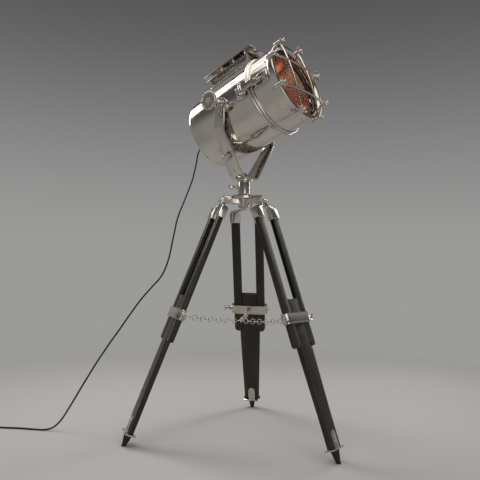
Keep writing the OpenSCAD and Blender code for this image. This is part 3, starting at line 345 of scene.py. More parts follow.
def wood_finish(name, place):
    """Black-stained wood under satin lacquer, its grain along the piece."""
    look = bpy.context.scene.lamp_finishes
    finish = Finish(name, place)
    bend = finish.noise((0.03, 0.03, 0.25), 2, 0.5, 0.6)
    fibre = finish.noise((0.0022, 0.0022, 0.11), 5, 0.65, 0.25)
    pores = finish.spread(finish.noise((0.0009, 0.0009, 0.014), 2), 0.60, 0.72)
    grain = finish.spread(fibre * 0.75 + bend * 0.35, 0.46, 0.72)
    rubbed = finish.spread(finish.noise(0.045, 4, 0.6), 0.52, 0.72)
    stained = finish.mix(grain * 0.75 + rubbed * 0.2, look.wood, look.wood_light)
    finish.set(
        Base_Color=finish.mix(pores * 0.7, stained, (0.006, 0.005, 0.004)),
        Roughness=0.33 + fibre * 0.14 + pores * 0.2 - rubbed * 0.06,
        Coat_Weight=0.25 - pores * 0.15,
        Coat_Roughness=0.16,
        Specular_IOR_Level=0.32,
    )
    finish.bump(fibre * 0.3 - pores * 0.55, 0.0004)
    return finish.material


def copper_finish(name, place):
    """Spun and polished copper, with faint rings from the spinning."""
    look = bpy.context.scene.lamp_finishes
    finish = Finish(name, place)
    place = finish.split(finish.coordinates(1.0))
    radius = (place["Y"] ** 2.0 + place["Z"] ** 2.0) ** 0.5
    rings = finish.maths("SINE", radius * 1500.0 + finish.noise(0.05) * 6.0)
    cloud = finish.noise(0.07, 2, 0.5, 0.3)
    warm = finish.mix(finish.spread(cloud, 0.35, 0.7), look.copper, (0.70, 0.33, 0.20))
    finish.set(Base_Color=warm, Metallic=1.0, Roughness=0.15 + cloud * 0.10 + rings * 0.015)
    finish.bump(rings * 0.02 + cloud * 0.12, 0.0008)
    return finish.material


def glass_finish(name, place):
    """Clear front glass: it lets light straight through and reflects more at a flat angle."""
    finish = Finish(name, place)
    dust = finish.spread(finish.noise(0.03, 5, 0.62), 0.5, 0.85)
    facing = finish.node("ShaderNodeLayerWeight", {}, {"Blend": 0.3})["Fresnel"]
    outside = 1.0 - finish.node("ShaderNodeNewGeometry")["Backfacing"]
    clear = finish.node("ShaderNodeBsdfTransparent", {}, {"Color": (0.97, 0.98, 0.975, 1)})["BSDF"]
    gloss = finish.node("ShaderNodeBsdfAnisotropic", {}, {"Color": (1, 1, 1, 1), "Roughness": 0.03})["BSDF"]
    finish.surface((facing * 0.8 + dust * 0.03) * outside, clear, gloss)
    finish.tree.nodes.remove(finish.shader)
    return finish.material


def opal_finish(name, place):
    """Frosted glass of the bulb, its tone, gloss and coat varying in soft clouds."""
    finish = Finish(name, place)
    cloud = finish.noise(0.02, 3)
    finish.set(
        Base_Color=finish.mix(cloud, (0.93, 0.90, 0.84), (0.86, 0.82, 0.74)),
        Roughness=0.22 + cloud * 0.1,
        Coat_Weight=0.5 + cloud * 0.2,
        Coat_Roughness=0.05,
    )
    finish.bump(cloud, 0.0001)
    return finish.material


def moulded_finish(name, place, colour, roughness, grain, depth):
    """Rubber, plastic or glazed ceramic: a fine grain, with dust that settles unevenly."""
    finish = Finish(name, place)
    fine = finish.noise(grain, 3, 0.6)
    dust = finish.spread(finish.noise(0.025, 4, 0.6), 0.45, 0.75)
    paler = tuple(channel * 1.7 + 0.012 for channel in colour)
    finish.set(
        Base_Color=finish.mix(dust * 0.6, colour, paler),
        Roughness=roughness + fine * 0.12 + dust * 0.08,
    )
    finish.bump(fine, depth)
    return finish.material


MATERIALS = {}
SLOTS = {sub["node"]: sub["material_slot"] for sub in frame["record"]["subparts"]}
# Name, colour, roughness, size of the grain and depth of the grain of each moulded material
MOULDED = {
    "ceramic": ("lamp_holder_glaze", (0.05, 0.04, 0.034), 0.16, 6 * MM, 0.1 * MM),
    "rubber": ("black_rubber", (0.016, 0.016, 0.016), 0.62, 1.2 * MM, 0.2 * MM),
    "plastic": ("plug_plastic", (0.018, 0.018, 0.018), 0.42, 0.8 * MM, 0.15 * MM),
}


def make_finishes():
    """One material for each finish and each frame that it follows."""
    look = bpy.context.scene.lamp_finishes
    MATERIALS["nickel"] = nickel_finish("polished_nickel", HEAD, 0.0, 0.02)
    MATERIALS["shell"] = nickel_finish("nickel_shell", HEAD, 0.3, 0.0, 0.35)
    MATERIALS["copper"] = copper_finish("spun_copper", HEAD)
    MATERIALS["glass"] = glass_finish("front_glass", HEAD)
    MATERIALS["opal"] = opal_finish("opal_bulb", HEAD)
    MATERIALS["cable"] = moulded_finish("cable_sheath", Matrix(), look.cable, 0.36, 1.6 * MM, 0.12 * MM)
    for key, (name, *values) in MOULDED.items():
        MATERIALS[key] = moulded_finish(name, HEAD if key == "ceramic" else Matrix(), *values)
    for leg, azimuth in LEGS.items():
        MATERIALS["wood_" + leg] = wood_finish("black_wood_" + leg, leg_frame(azimuth))
        MATERIALS["nickel_" + leg] = nickel_finish("leg_nickel_" + leg, leg_frame(azimuth), 0.1, 0.03)


# ---- Making meshes ----
# Points closer than this are one point
WELD = 0.001 * MM
# Radii below this lie on the axis
ON_AXIS = 0.0001 * MM
# Edges flatter than the first are dissolved, and edges sharper than the second are rounded
FLAT_ANGLE = math.radians(0.6)
EDGE_ANGLE = math.radians(38)
# Any direction across the start of a wire
FIRST_SIDE = Vector((0.31, -0.95, 0.05))


def new_piece(name, data):
    piece = bpy.data.objects.new(name, data)
    bpy.context.scene.collection.objects.link(piece)
    return piece


def mesh_of(name, bm, place=Matrix(), sharp=35, recalculate=True):
    """A smooth-shaded mesh from a bmesh, set in place, with its normals pointing out."""
    if recalculate:
        bmesh.ops.recalc_face_normals(bm, faces=bm.faces)
    mesh = bpy.data.meshes.new(name)
    bm.to_mesh(mesh)
    bm.free()
    put(mesh, place)
    shade(mesh, sharp)
    return mesh


def put(mesh, place):
    """Moves a mesh, and turns its faces outwards again where the move mirrors it."""
    mesh.transform(place)
    if place.determinant() < 0:
        mesh.flip_normals()


def shade(mesh, sharp):
    mesh.shade_smooth()
    mesh.set_sharp_from_angle(angle=math.radians(sharp))


def applied(piece, sharp=35):
    """Turns a piece and its modifiers into a plain mesh."""
    depsgraph = bpy.context.evaluated_depsgraph_get()
    mesh = bpy.data.meshes.new_from_object(piece.evaluated_get(depsgraph))
    piece.modifiers.clear()
    old = piece.data
    piece.data = mesh
    bpy.data.meshes.remove(old)
    shade(mesh, sharp)
    return piece


def fit(piece, finish, body, slot, *stands_for):
    """Gives a piece its material, the body that it rides on and the nodes that it stands for."""
    piece.data.materials.clear()
    piece.data.materials.append(MATERIALS[finish])
    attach(piece, body)
    if stands_for:
        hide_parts(*stands_for)
    return piece


def body_of(node):
    return next(name for name, members in frame["record"]["behaviour"]["bodies"].items() if node in members)


def rounded_copy(node, width, finish):
    """A copy of a node's own mesh with its sharp edges rounded, in the node's place."""
    bm = bmesh.new()
    bm.from_mesh(NODES[node].data)
    bmesh.ops.remove_doubles(bm, verts=bm.verts, dist=WELD)
    bmesh.ops.dissolve_limit(bm, angle_limit=FLAT_ANGLE, verts=bm.verts, edges=bm.edges)
    piece = new_piece(node + "_dressed", mesh_of(node + "_dressed", bm, recalculate=False))
    bevel = piece.modifiers.new("Edge", "BEVEL")
    bevel.width = width
    bevel.segments = 2
    bevel.limit_method = "ANGLE"
    bevel.angle_limit = EDGE_ANGLE
    bevel.use_clamp_overlap = True
    bevel.miter_outer = "MITER_ARC"
    applied(piece, 42)
    return fit(piece, finish, body_of(node), SLOTS[node], node)


def round_angles(steps):
    """A full turn in equal steps."""
    return [2 * math.pi * i / steps for i in range(steps)]


def turned(name, outline, place, steps=128, sharp=35):
    """A shape turned about X from (radius, x) points, which close on themselves or on the axis."""
    bm = bmesh.new()
    angles = round_angles(steps)
    rings = []
    for radius, x in outline:
        if radius < ON_AXIS:
            rings.append([bm.verts.new((x, 0, 0))])
        else:
            rings.append([bm.verts.new((x, radius * math.cos(a), radius * math.sin(a))) for a in angles])
    on_axis = len(rings[0]) == 1 and len(rings[-1]) == 1
    pairs = list(zip(rings, rings[1:])) + ([] if on_axis else [(rings[-1], rings[0])])
    for first, second in pairs:
        for i in range(steps):
            j = (i + 1) % steps
            corners = [first[i % len(first)], first[j % len(first)]]
            corners += [second[j % len(second)], second[i % len(second)]]
            corners = list(dict.fromkeys(corners))
            if len(corners) > 2:
                bm.faces.new(corners)
    return new_piece(name, mesh_of(name, bm, place, sharp))


def swept(name, path, radius, sides, closed=False):
    """A round wire along a path, turned as little as possible on its way."""
    points = [Vector(p) for p in path]
    count = len(points)
    bm = bmesh.new()
    angles = round_angles(sides)
    side = FIRST_SIDE
    rings = []
    for i, point in enumerate(points):
        before = points[(i - 1) % count] if closed else points[max(i - 1, 0)]
        after = points[(i + 1) % count] if closed else points[min(i + 1, count - 1)]
        ahead = (after - before).normalized()
        side = (side - ahead * side.dot(ahead)).normalized()
        across = ahead.cross(side)
        spokes = [side * (radius * math.cos(a)) + across * (radius * math.sin(a)) for a in angles]
        rings.append([bm.verts.new(point + spoke) for spoke in spokes])
    for first, second in list(zip(rings, rings[1:])) + ([(rings[-1], rings[0])] if closed else []):
        for k in range(sides):
            bm.faces.new((first[k], first[(k + 1) % sides], second[(k + 1) % sides], second[k]))
    if not closed:
        bm.faces.new(rings[0][::-1])
        bm.faces.new(rings[-1])
    return new_piece(name, mesh_of(name, bm))


def arc(centre, radius, start, end, count):
    """Points on an arc, as (radius, x) or any other pair, with angles in degrees."""
    angles = [math.radians(start + (end - start) * i / count) for i in range(count + 1)]
    return [(centre[0] + radius * math.cos(a), centre[1] + radius * math.sin(a)) for a in angles]


def slab(bm, outline, thickness, place):
    """A flat shape cut from a plate: an outline in X and Z, its thickness along Y."""
    sheets = []
    for y in (-thickness / 2, thickness / 2):
        sheets.append([bm.verts.new(place @ Vector((x, y, z))) for x, z in outline])
    bm.faces.new(sheets[0])
    bm.faces.new(sheets[1][::-1])
    for i in range(len(outline)):
        j = (i + 1) % len(outline)
        bm.faces.new((sheets[0][j], sheets[0][i], sheets[1][i], sheets[1][j]))


def joined(name, pieces):
    """Puts the meshes of several pieces into one piece."""
    bm = bmesh.new()
    for piece in pieces:
        bm.from_mesh(piece.data)
        bpy.data.objects.remove(piece)
    return new_piece(name, mesh_of(name, bm, recalculate=False))


def wing_nut(name, bore, height, span, thickness, place, voxel=0.0007):
    """A cast wing nut standing on Z = 0 with its wings along X, fused and softened like a casting."""
    hub = bore + height * 0.22 + 2 * MM
    tip = height * 0.34
    bm = bmesh.new()
    for side in (0, 180):
        ear = arc((span / 2 - tip, height - tip * 0.2), tip, -70, 110, 10)
        outline = ear + [(hub, height * 0.74), (0, height * 0.74), (0, 1 * MM), (hub, 1 * MM)]
        slab(bm, outline, thickness, turn(side, "Z"))
    wings = new_piece(name, mesh_of(name, bm))
    outline = [(bore, 0), (hub + 1 * MM, 0), (hub, height * 0.8), (bore, height * 0.8)]
    nut = joined(name, [wings, turned(name + "_barrel", outline, turn(-90, "Y"), 48)])
    remesh = nut.modifiers.new("Cast", "REMESH")
    remesh.mode = "VOXEL"
    remesh.voxel_size = voxel
    smooth = nut.modifiers.new("Soften", "SMOOTH")
    smooth.factor = 0.6
    smooth.iterations = 5
    applied(nut, 80)
    put(nut.data, place)
    return nut


# ---- Geometry node trees ----
LINK_STEPS = 40
WIRE_STEPS = 14
BAR_STEPS = 72
BAR_SIDES = 24


def geometry_graph(name, **inputs):
    """A geometry node tree with named inputs, each given by its kind of socket."""
    tree = bpy.data.node_groups.new(name, "GeometryNodeTree")
    tree.interface.new_socket("Geometry", in_out="OUTPUT", socket_type="NodeSocketGeometry")
    for label, kind in inputs.items():
        tree.interface.new_socket(label.replace("_", " "), in_out="INPUT", socket_type="NodeSocket" + kind)
    graph = Graph(tree)
    return graph, graph.node("NodeGroupInput")


def end_tree(graph, geometry, source):
    """Every tree ends in plain geometry with its material set."""
    real = graph.node("GeometryNodeRealizeInstances", {}, {"Geometry": geometry})["Geometry"]
    dressed = graph.node("GeometryNodeSetMaterial", {}, {"Geometry": real, "Material": source["Finish"]})
    graph.node("NodeGroupOutput", {}, {"Geometry": dressed["Geometry"]})
    return graph.tree


def grown(name, tree, values, sharp=35):
    """Runs a geometry node tree with these input values and keeps its result as a plain mesh."""
    piece = new_piece(name, bpy.data.meshes.new(name))
    modifier = piece.modifiers.new(tree.name, "NODES")
    modifier.node_group = tree
    for item in tree.interface.items_tree:
        if item.in_out == "INPUT" and item.name in values:
            modifier[item.identifier] = values[item.name]
    return applied(piece, sharp)


def circle(graph, steps, radius):
    sockets = {"Resolution": steps, "Radius": radius}
    return graph.node("GeometryNodeCurvePrimitiveCircle", {}, sockets)["Curve"]


def point_row(graph, **sockets):
    sockets = {key.replace("_", " "): value for key, value in sockets.items()}
    return graph.node("GeometryNodeMeshLine", {"mode": "OFFSET"}, sockets)["Mesh"]


def set_points(graph, geometry, position):
    sockets = {"Geometry": geometry, "Position": position}
    return graph.node("GeometryNodeSetPosition", {}, sockets)["Geometry"]


def moved(graph, geometry, by=(0, 0, 0), turned_by=(0, 0, 0)):
    return graph.node("GeometryNodeTransform", {}, {
        "Geometry": geometry, "Translation": by, "Rotation": turned_by})["Geometry"]


def on_points(graph, points, piece, euler):
    """A copy of a piece on each point, turned by the angles that the point works out."""
    turned_to = graph.node("FunctionNodeEulerToRotation", {}, {"Euler": euler})["Rotation"]
    return graph.node("GeometryNodeInstanceOnPoints", {}, {
        "Points": points, "Instance": piece, "Rotation": turned_to})["Instances"]


def geometry_of(graph, piece):
    settings = {"transform_space": "ORIGINAL"}
    return graph.node("GeometryNodeObjectInfo", settings, {"Object": piece})["Geometry"]


def index_of(graph):
    return graph.node("GeometryNodeInputIndex")["Index"]


def chain_tree():
    """Round links on a sagging line from the centre to the clamp, each turned a quarter from the last."""
    graph, source = geometry_graph(
        "chain_run", Links="Int", First="Float", Pitch="Float", Sag="Float", Reach="Float",
        Link_radius="Float", Wire_radius="Float", Finish="Material")
    line = point_row(graph, Count=source["Links"], Start_Location=graph.vector(X=source["First"]),
                     Offset=graph.vector(X=source["Pitch"]))
    along = graph.split(graph.node("GeometryNodeInputPosition")["Position"])["X"]
    share = along / source["Reach"]
    drop = source["Sag"] * (1.0 - share ** 2.0)
    points = set_points(graph, line, graph.vector(X=along, Z=drop * -1.0))
    slope = graph.maths("ARCTANGENT", 2.0 * source["Sag"] * share / source["Reach"])
    odd = graph.maths("MODULO", index_of(graph), 2.0)
    link = graph.node("GeometryNodeCurveToMesh", {}, {
        "Curve": circle(graph, LINK_STEPS, source["Link radius"]),
        "Profile Curve": circle(graph, WIRE_STEPS, source["Wire radius"])})["Mesh"]
    tipped = graph.vector(X=(1.0 - odd) * (math.pi / 2), Y=slope * -1.0)
    return end_tree(graph, on_points(graph, points, link, tipped), source)


def ring_tree():
    """Copies of one piece round the head's axis, all facing forwards."""
    graph, source = geometry_graph(
        "ring_of_pieces", Piece="Object", Count="Int", Radius="Float", First_angle="Float",
        Forward="Float", Finish="Material")
    angle = index_of(graph) * (2 * math.pi) / source["Count"] + source["First angle"]
    spot = graph.vector(X=source["Forward"], Y=graph.maths("SINE", angle) * source["Radius"] * -1.0,
                        Z=graph.maths("COSINE", angle) * source["Radius"])
    points = set_points(graph, point_row(graph, Count=source["Count"], Offset=(0, 0, 0)), spot)
    copies = on_points(graph, points, geometry_of(graph, source["Piece"]), graph.vector(X=angle))
    return end_tree(graph, copies, source)


def guard_tree():
    """Two upright and two level bars that bow forwards from a flat circle."""
    graph, source = geometry_graph(
        "bowed_bars", Bow_radius="Float", Half_angle="Float", Bulge="Float", Bar_radius="Float",
        Apart="Float", Upright_x="Float", Level_x="Float", Finish="Material")
    bow = graph.node("GeometryNodeCurveArc", {"mode": "RADIUS"}, {
        "Resolution": BAR_STEPS, "Radius": source["Bow radius"], "Start Angle": source["Half angle"] * -1.0,
        "Sweep Angle": source["Half angle"] * 2.0})["Curve"]
    section = circle(graph, BAR_SIDES, source["Bar radius"])
    bar = graph.node("GeometryNodeCurveToMesh", {}, {
        "Curve": bow, "Profile Curve": section, "Fill Caps": True})["Mesh"]
    back = graph.vector(X=source["Bulge"] - source["Bow radius"])
    upright = moved(graph, bar, back, (math.pi / 2, 0, 0))
    together = graph.node("GeometryNodeJoinGeometry")
    for forward, roll in ((source["Upright x"], 0.0), (source["Level x"], math.pi / 2)):
        for side in (-0.5, 0.5):
            aside = moved(graph, upright, graph.vector(Y=source["Apart"] * side))
            ahead = moved(graph, aside, graph.vector(X=forward), (roll, 0, 0))
            graph.tree.links.new(ahead.socket, together.node.inputs["Geometry"])
    return end_tree(graph, together["Geometry"], source)


def fastener_tree():
    """Slotted screw heads on marked points, which say where each head faces and how its slot is turned."""
    graph, source = geometry_graph(
        "screw_heads", Marks="Object", Head="Object", Radius="Float", Finish="Material")
    facing, slot = [
        graph.node("GeometryNodeInputNamedAttribute", {"data_type": kind}, {"Name": name})["Attribute"]
        for name, kind in (("facing", "FLOAT_VECTOR"), ("slot", "FLOAT"))]
    spin = graph.node("FunctionNodeEulerToRotation", {}, {"Euler": graph.vector(Z=slot)})["Rotation"]
    aimed = graph.node("FunctionNodeAlignRotationToVector", {"axis": "Z"}, {
        "Rotation": spin, "Vector": facing})["Rotation"]
    heads = graph.node("GeometryNodeInstanceOnPoints", {}, {
        "Points": geometry_of(graph, source["Marks"]), "Instance": geometry_of(graph, source["Head"]),
        "Rotation": aimed, "Scale": source["Radius"]})["Instances"]
    return end_tree(graph, heads, source)


# ---- Operators ----
class LAMP_OT_stage(Operator):
    """Adds the camera, the pale floor and the soft studio light."""

    bl_idname = "lamp.stage"
    bl_label = "Camera and studio"

    def execute(self, context):
        stage = context.scene.lamp_stage
        add_camera(stage)
        add_floor(stage)
        add_world(stage)
        add_lights()
        return {"FINISHED"}


CAMERA_PLACE = Vector((POST_X + 1.3612, -1.7072, 0.6717))
CAMERA_AZIMUTH = math.radians(38.86)
CAMERA_RISE = math.radians(2.91)
CAMERA_ROLL = math.radians(1.53)
FLOOR_R = 25.0
# Distances from the origin between which the floor takes the backdrop's colour
FLOOR_FADE = (0.7, 2.8)
# Sines of the heights between which the backdrop takes its colour overhead
SKY_FADE = (0.0, 0.52)
LIGHT_TARGET_H = 0.9
LIGHT_COLOUR = (1.0, 0.985, 0.96)


def camera_axes():
    """Where the camera looks, its right and its up, before its roll."""
    level = Vector((-math.sin(CAMERA_AZIMUTH), math.cos(CAMERA_AZIMUTH), 0))
    right = Vector((math.cos(CAMERA_AZIMUTH), math.sin(CAMERA_AZIMUTH), 0))
    ahead = level * math.cos(CAMERA_RISE) + Vector((0, 0, 1)) * math.sin(CAMERA_RISE)
    return ahead, right, right.cross(ahead)


def add_camera(stage):
    ahead, right, up = camera_axes()
    x_axis = right * math.cos(CAMERA_ROLL) + up * math.sin(CAMERA_ROLL)
    y_axis = up * math.cos(CAMERA_ROLL) - right * math.sin(CAMERA_ROLL)
    data = bpy.data.cameras.new("camera")
    data.lens = stage.lens
    data.sensor_width = 36
    data.clip_end = 60
    camera = new_piece("camera", data)
    turned_to = Matrix((x_axis, y_axis, -ahead)).transposed()
    camera.matrix_world = Matrix.Translation(CAMERA_PLACE) @ turned_to.to_4x4()
    bpy.context.scene.camera = camera


def seen_by(graph, *rays):
    """1 for each kind of ray that is named, and 0 for the others."""
    path = graph.node("ShaderNodeLightPath")
    seen = path[rays[0]]
    for ray in rays[1:]:
        seen = graph.maths("MAXIMUM", seen, path[ray])
    return seen


def add_floor(stage):
    """A wide round floor whose far part takes the backdrop's colour, so that no horizon line shows."""
    bm = bmesh.new()
    bmesh.ops.create_circle(bm, cap_ends=True, radius=FLOOR_R, segments=96)
    floor = new_piece("studio_floor", mesh_of("studio_floor", bm))
    finish = Finish("studio_floor")
    place = finish.split(finish.coordinates(1.0))
    distance = (place["X"] ** 2.0 + place["Y"] ** 2.0) ** 0.5
    worn = tuple(channel * 0.96 for channel in stage.floor)
    finish.set(Base_Color=finish.mix(finish.noise(0.4, 4) * 0.25, stage.floor, worn), Roughness=0.75,
               Specular_IOR_Level=0.2)
    glow = finish.node("ShaderNodeEmission", {}, {"Color": (*stage.backdrop, 1)})["Emission"]
    share = finish.spread(distance, *FLOOR_FADE) * seen_by(finish, "Is Camera Ray", "Is Glossy Ray")
    finish.surface(share, Wire(finish, finish.shader.outputs[0]), glow)
    floor.data.materials.append(finish.material)


def add_world(stage):
    """A plain backdrop all round that lights the lamp softly, darker overhead."""
    world = bpy.data.worlds.new("studio")
    bpy.context.scene.world = world
    world.use_nodes = True
    graph = Graph(world.node_tree)
    height = graph.split(graph.node("ShaderNodeTexCoord")["Generated"])["Z"]
    overhead = graph.node("ShaderNodeMapRange", {"interpolation_type": "SMOOTHSTEP"}, {
        "Value": height, "From Min": SKY_FADE[0], "From Max": SKY_FADE[1]})["Result"]
    sky = graph.node("ShaderNodeMix", {"data_type": "RGBA"}, {
        0: overhead, 6: (*stage.backdrop, 1), 7: (*stage.overhead, 1)})[2]
    direct = seen_by(graph, "Is Camera Ray", "Is Glossy Ray", "Is Transmission Ray")
    background = world.node_tree.nodes["Background"]
    graph.tree.links.new(sky.socket, background.inputs["Color"])
    graph.tree.links.new((0.9 + direct * 0.1).socket, background.inputs["Strength"])


def add_lights():
    """Soft boxes: a key on the left and a strip on the right, both behind, one overhead, one in front."""
    ahead, right, up = camera_axes()
    boxes = (
        ("key_light", -right * 1.35 + ahead * 0.9 + up * 1.35, (0.9, 1.6), 19),
        ("top_light", up * 2.4 - ahead * 0.2, (3.2, 3.2), 46),
        ("side_light", right * 1.5 + ahead * 1.5 + up * 0.5, (0.45, 1.7), 9),
        ("front_light", -ahead * 2.4 + right * 0.7 + up * 0.4, (1.6, 1.6), 9),
    )
    for name, offset, size, power in boxes:
        data = bpy.data.lights.new(name, "AREA")
        data.shape = "RECTANGLE"
        data.size, data.size_y = size
        data.energy = power
        data.color = LIGHT_COLOUR
        box = new_piece(name, data)
        box.location = Vector((POST_X, 0, LIGHT_TARGET_H)) + offset
        box.rotation_euler = (-offset).to_track_quat("-Z", "Y").to_euler()


# Route of the cord's free stretch, measured from the post's axis
CORD_ROUTE = (
    (-0.262, -0.002, 1.172), (-0.266, -0.010, 1.120), (-0.270, -0.026, 1.050), (-0.279, -0.058, 0.962),
    (-0.289, -0.088, 0.880), (-0.295, -0.106, 0.792), (-0.300, -0.124, 0.700), (-0.312, -0.148, 0.630),
    (-0.338, -0.178, 0.580), (-0.366, -0.208, 0.530), (-0.394, -0.242, 0.466), (-0.420, -0.276, 0.400),
    (-0.448, -0.308, 0.336), (-0.476, -0.344, 0.262), (-0.503, -0.381, 0.182), (-0.528, -0.416, 0.104),
    (-0.550, -0.446, 0.042), (-0.572, -0.470, 0.012), (-0.600, -0.494, 0.0037), (-0.640, -0.520, 0.0037),
    (-0.686, -0.548, 0.0037), (-0.732, -0.582, 0.0037), (-0.770, -0.618, 0.0037),
)
# From the cord's start to where it no longer follows the drum
CORD_GIVE = Vector((-0.05, -0.08, -0.36))
COIL_CENTRE = Vector((-0.830, -0.664, 0.0037))
COIL_TURNS = 5.5
COIL_INNER_R = 0.031
COIL_PITCH = 0.0077
COIL_LAYER = 0.0076
COIL_START = math.radians(-55)
COIL_STEPS_PER_TURN = 48
CORD_STEPS = 8
CORD_SIDES = 16
CORD_CLEAR = 0.3 * MM


def coil_line():
    """The stored coil, whose turns wind in, climb one layer where they reverse, and wind out."""
    points = []
    steps = int(COIL_TURNS * COIL_STEPS_PER_TURN)
    for i in range(steps + 1):
        wound = i * COIL_TURNS / steps
        radius = COIL_INNER_R + COIL_PITCH * abs(wound - COIL_TURNS / 2)
        climb = min(1, max(0, (wound - COIL_TURNS / 2) * 2 + 0.5))
        angle = COIL_START - wound * 2 * math.pi
        rise = COIL_LAYER * climb * climb * (3 - 2 * climb)
        points.append(COIL_CENTRE + Vector((radius * math.cos(angle), radius * math.sin(angle), rise)))
    return points


def smooth_line(points, steps):
    """A smooth curve through points (Catmull-Rom)."""
    line = []
    last = len(points) - 1
    for i in range(last):
        a, b, c, d = points[max(i - 1, 0)], points[i], points[i + 1], points[min(i + 2, last)]
        for step in range(steps):
            t = step / steps
            bend = t * ((2 * a - 5 * b + 4 * c - d) + t * (3 * (b - c) + d - a))
            line.append(b + 0.5 * t * ((c - a) + bend))
    return line + [points[-1]]


def cord_line(diameter):
    """The whole cord from the strain relief to the plug, in the lamp's frame."""
    tip = own_box("gland", HEAD)[0].x
    backwards = HEAD.to_3x3() @ Vector((-1, 0, 0))
    leave = HEAD @ Vector((tip, 0, 0)) - POST_FOOT
    coil = coil_line()
    coil_in = (coil[1] - coil[0]).normalized()
    coil_out = (coil[-1] - coil[-2]).normalized()
    coil = [coil[0] - coil_in * diameter] + coil + [coil[-1] + coil_out * diameter]
    knots = [leave + backwards * far for far in (CORD_CLEAR, CORD_CLEAR + diameter)]
    knots += [Vector(p) for p in CORD_ROUTE]
    knots += [coil[0] - coil_in * far for far in (3 * diameter, diameter, CORD_CLEAR)]
    free = smooth_line(knots, CORD_STEPS)
    free = [free[0]] + free[CORD_STEPS:-CORD_STEPS]
    return [p + POST_FOOT for p in free + coil]


class LAMP_OT_cord(Operator):
    """Adds the mains cord with its coil, its strain relief and its plug."""

    bl_idname = "lamp.cord"
    bl_label = "Cord"

    def execute(self, context):
        diameter = context.scene.lamp_sizes.cord
        line = cord_line(diameter)
        cord = swept("mains_cord", line, diameter / 2, CORD_SIDES)
        cord.data.materials.append(MATERIALS["cable"])
        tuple(line[1])
        line[0] + CORD_GIVE
        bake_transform(cord)
        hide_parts("cord", "cord_coil")
        length = sum((b - a).length for a, b in zip(line, line[1:]))
        plug, pins = add_plug(line[-1], (line[-1] - line[-2]).normalized())
        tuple(line[0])
        add_gland()
        return {"FINISHED"}


def add_plug(tip, ahead):
    """A moulded plug with a ribbed grip and two round pins."""
    sideways = Vector((0, 0, 1)).cross(ahead).normalized()
    axes = Matrix((ahead, sideways, ahead.cross(sideways))).transposed().to_4x4()
    place = Matrix.Translation(tip + ahead * CORD_CLEAR) @ axes
    grip = [(7.2 * MM + (0.5 * MM if i % 2 else 0), (13 + i) * MM) for i in range(4)]
    outline = [(0, 0), (4.4 * MM, 0), (6.2 * MM, 11 * MM)] + grip + [(10.6 * MM, 19 * MM)]
    outline += arc((9 * MM, 21.5 * MM), 2 * MM, -40, 0, 3) + [(11 * MM, 37 * MM)]
    outline += arc((9.4 * MM, 40.4 * MM), 1.6 * MM, 0, 90, 4) + [(0, 42 * MM)]
    plug = turned("plug_body", outline, place, 48)
    fit(plug, "plastic", "yoke_body", "black_plastic", "plug")
    shank = [(0, 41 * MM), (2.4 * MM, 41 * MM), (2.4 * MM, 59 * MM), (1.7 * MM, 60 * MM), (0, 60 * MM)]
    pair = [turned("pin", shank, place @ shift(0, y * MM, 0), 24) for y in (-5.5, 5.5)]
    return plug, fit(joined("plug_pins", pair), "nickel", "yoke_body", "polished_nickel")


GLAND_GROOVES = 4
GLAND_BORE_R = 4.7 * MM
GLAND_FLANGE_R = 14 * MM


def add_gland():
    """The tapered strain relief at the rear cover, with grooves that let it bend."""
    low, high = own_box("gland", HEAD)
    tail, base = low.x, high.x - 9 * MM
    outline = [(0, tail), (GLAND_BORE_R, tail), (GLAND_BORE_R + 0.5 * MM, tail + 2 * MM)]
    for i in range(GLAND_GROOVES):
        x = tail + (4 + i * 4) * MM
        r = GLAND_BORE_R + (0.9 + i * 0.85) * MM
        outline += [(r, x), (r - 1.0 * MM, x + 0.5 * MM), (r - 0.9 * MM, x + 1.7 * MM)]
        outline += [(r + 0.3 * MM, x + 2.2 * MM)]
    outline += [(9 * MM, base - 3 * MM), (9.4 * MM, base - 0.2 * MM), (13.2 * MM, base)]
    outline += [(GLAND_FLANGE_R, base + 0.8 * MM), (GLAND_FLANGE_R, high.x), (0, high.x)]
    fit(turned("strain_relief", outline, HEAD, 64), "rubber", "drum_body", "black_rubber", "gland")


WOOD_EDGE = 1.3 * MM
TIP_EDGE = 0.6 * MM


class LAMP_OT_legs(Operator):
    """Dresses the wooden rails and the sliding lower legs, with their rubber tips."""

    bl_idname = "lamp.legs"
    bl_label = "Wooden legs"

    def execute(self, context):
        for leg in LEGS:
            for part in ("rails", "lower_leg"):
                rounded_copy(f"{leg}_{part}", WOOD_EDGE, "wood_" + leg)
            rounded_copy(f"{leg}_tip", TIP_EDGE, "rubber")
        return {"FINISHED"}


class LAMP_OT_leg_metal(Operator):
    """Dresses the legs' caps, clamps and shoes, and makes their bolts and screws."""

    bl_idname = "lamp.leg_metal"
    bl_label = "Leg fittings"

    def execute(self, context):
        edge = context.scene.lamp_sizes.edge
        for leg, azimuth in LEGS.items():
            finish = "nickel_" + leg
            for part in ("ferrules", "clamp", "shoe"):
                rounded_copy(f"{leg}_{part}", edge * 1.3, finish)
            add_hinge_bolt(leg, azimuth, finish)
            add_clamp_screw(leg, azimuth, finish)
        return {"FINISHED"}


def threaded(radius, start, end, pitch):
    """The outline of a threaded shank, from its start to its end."""
    depth = 0.32 * MM
    count = int((end - start) / pitch)
    points = [(0, start), (radius - depth, start)]
    for i in range(count):
        x = start + (i + 0.5) * pitch
        points += [(radius, x), (radius - depth, x + pitch / 2)]
    return points + [(radius - depth, end), (0, end)]


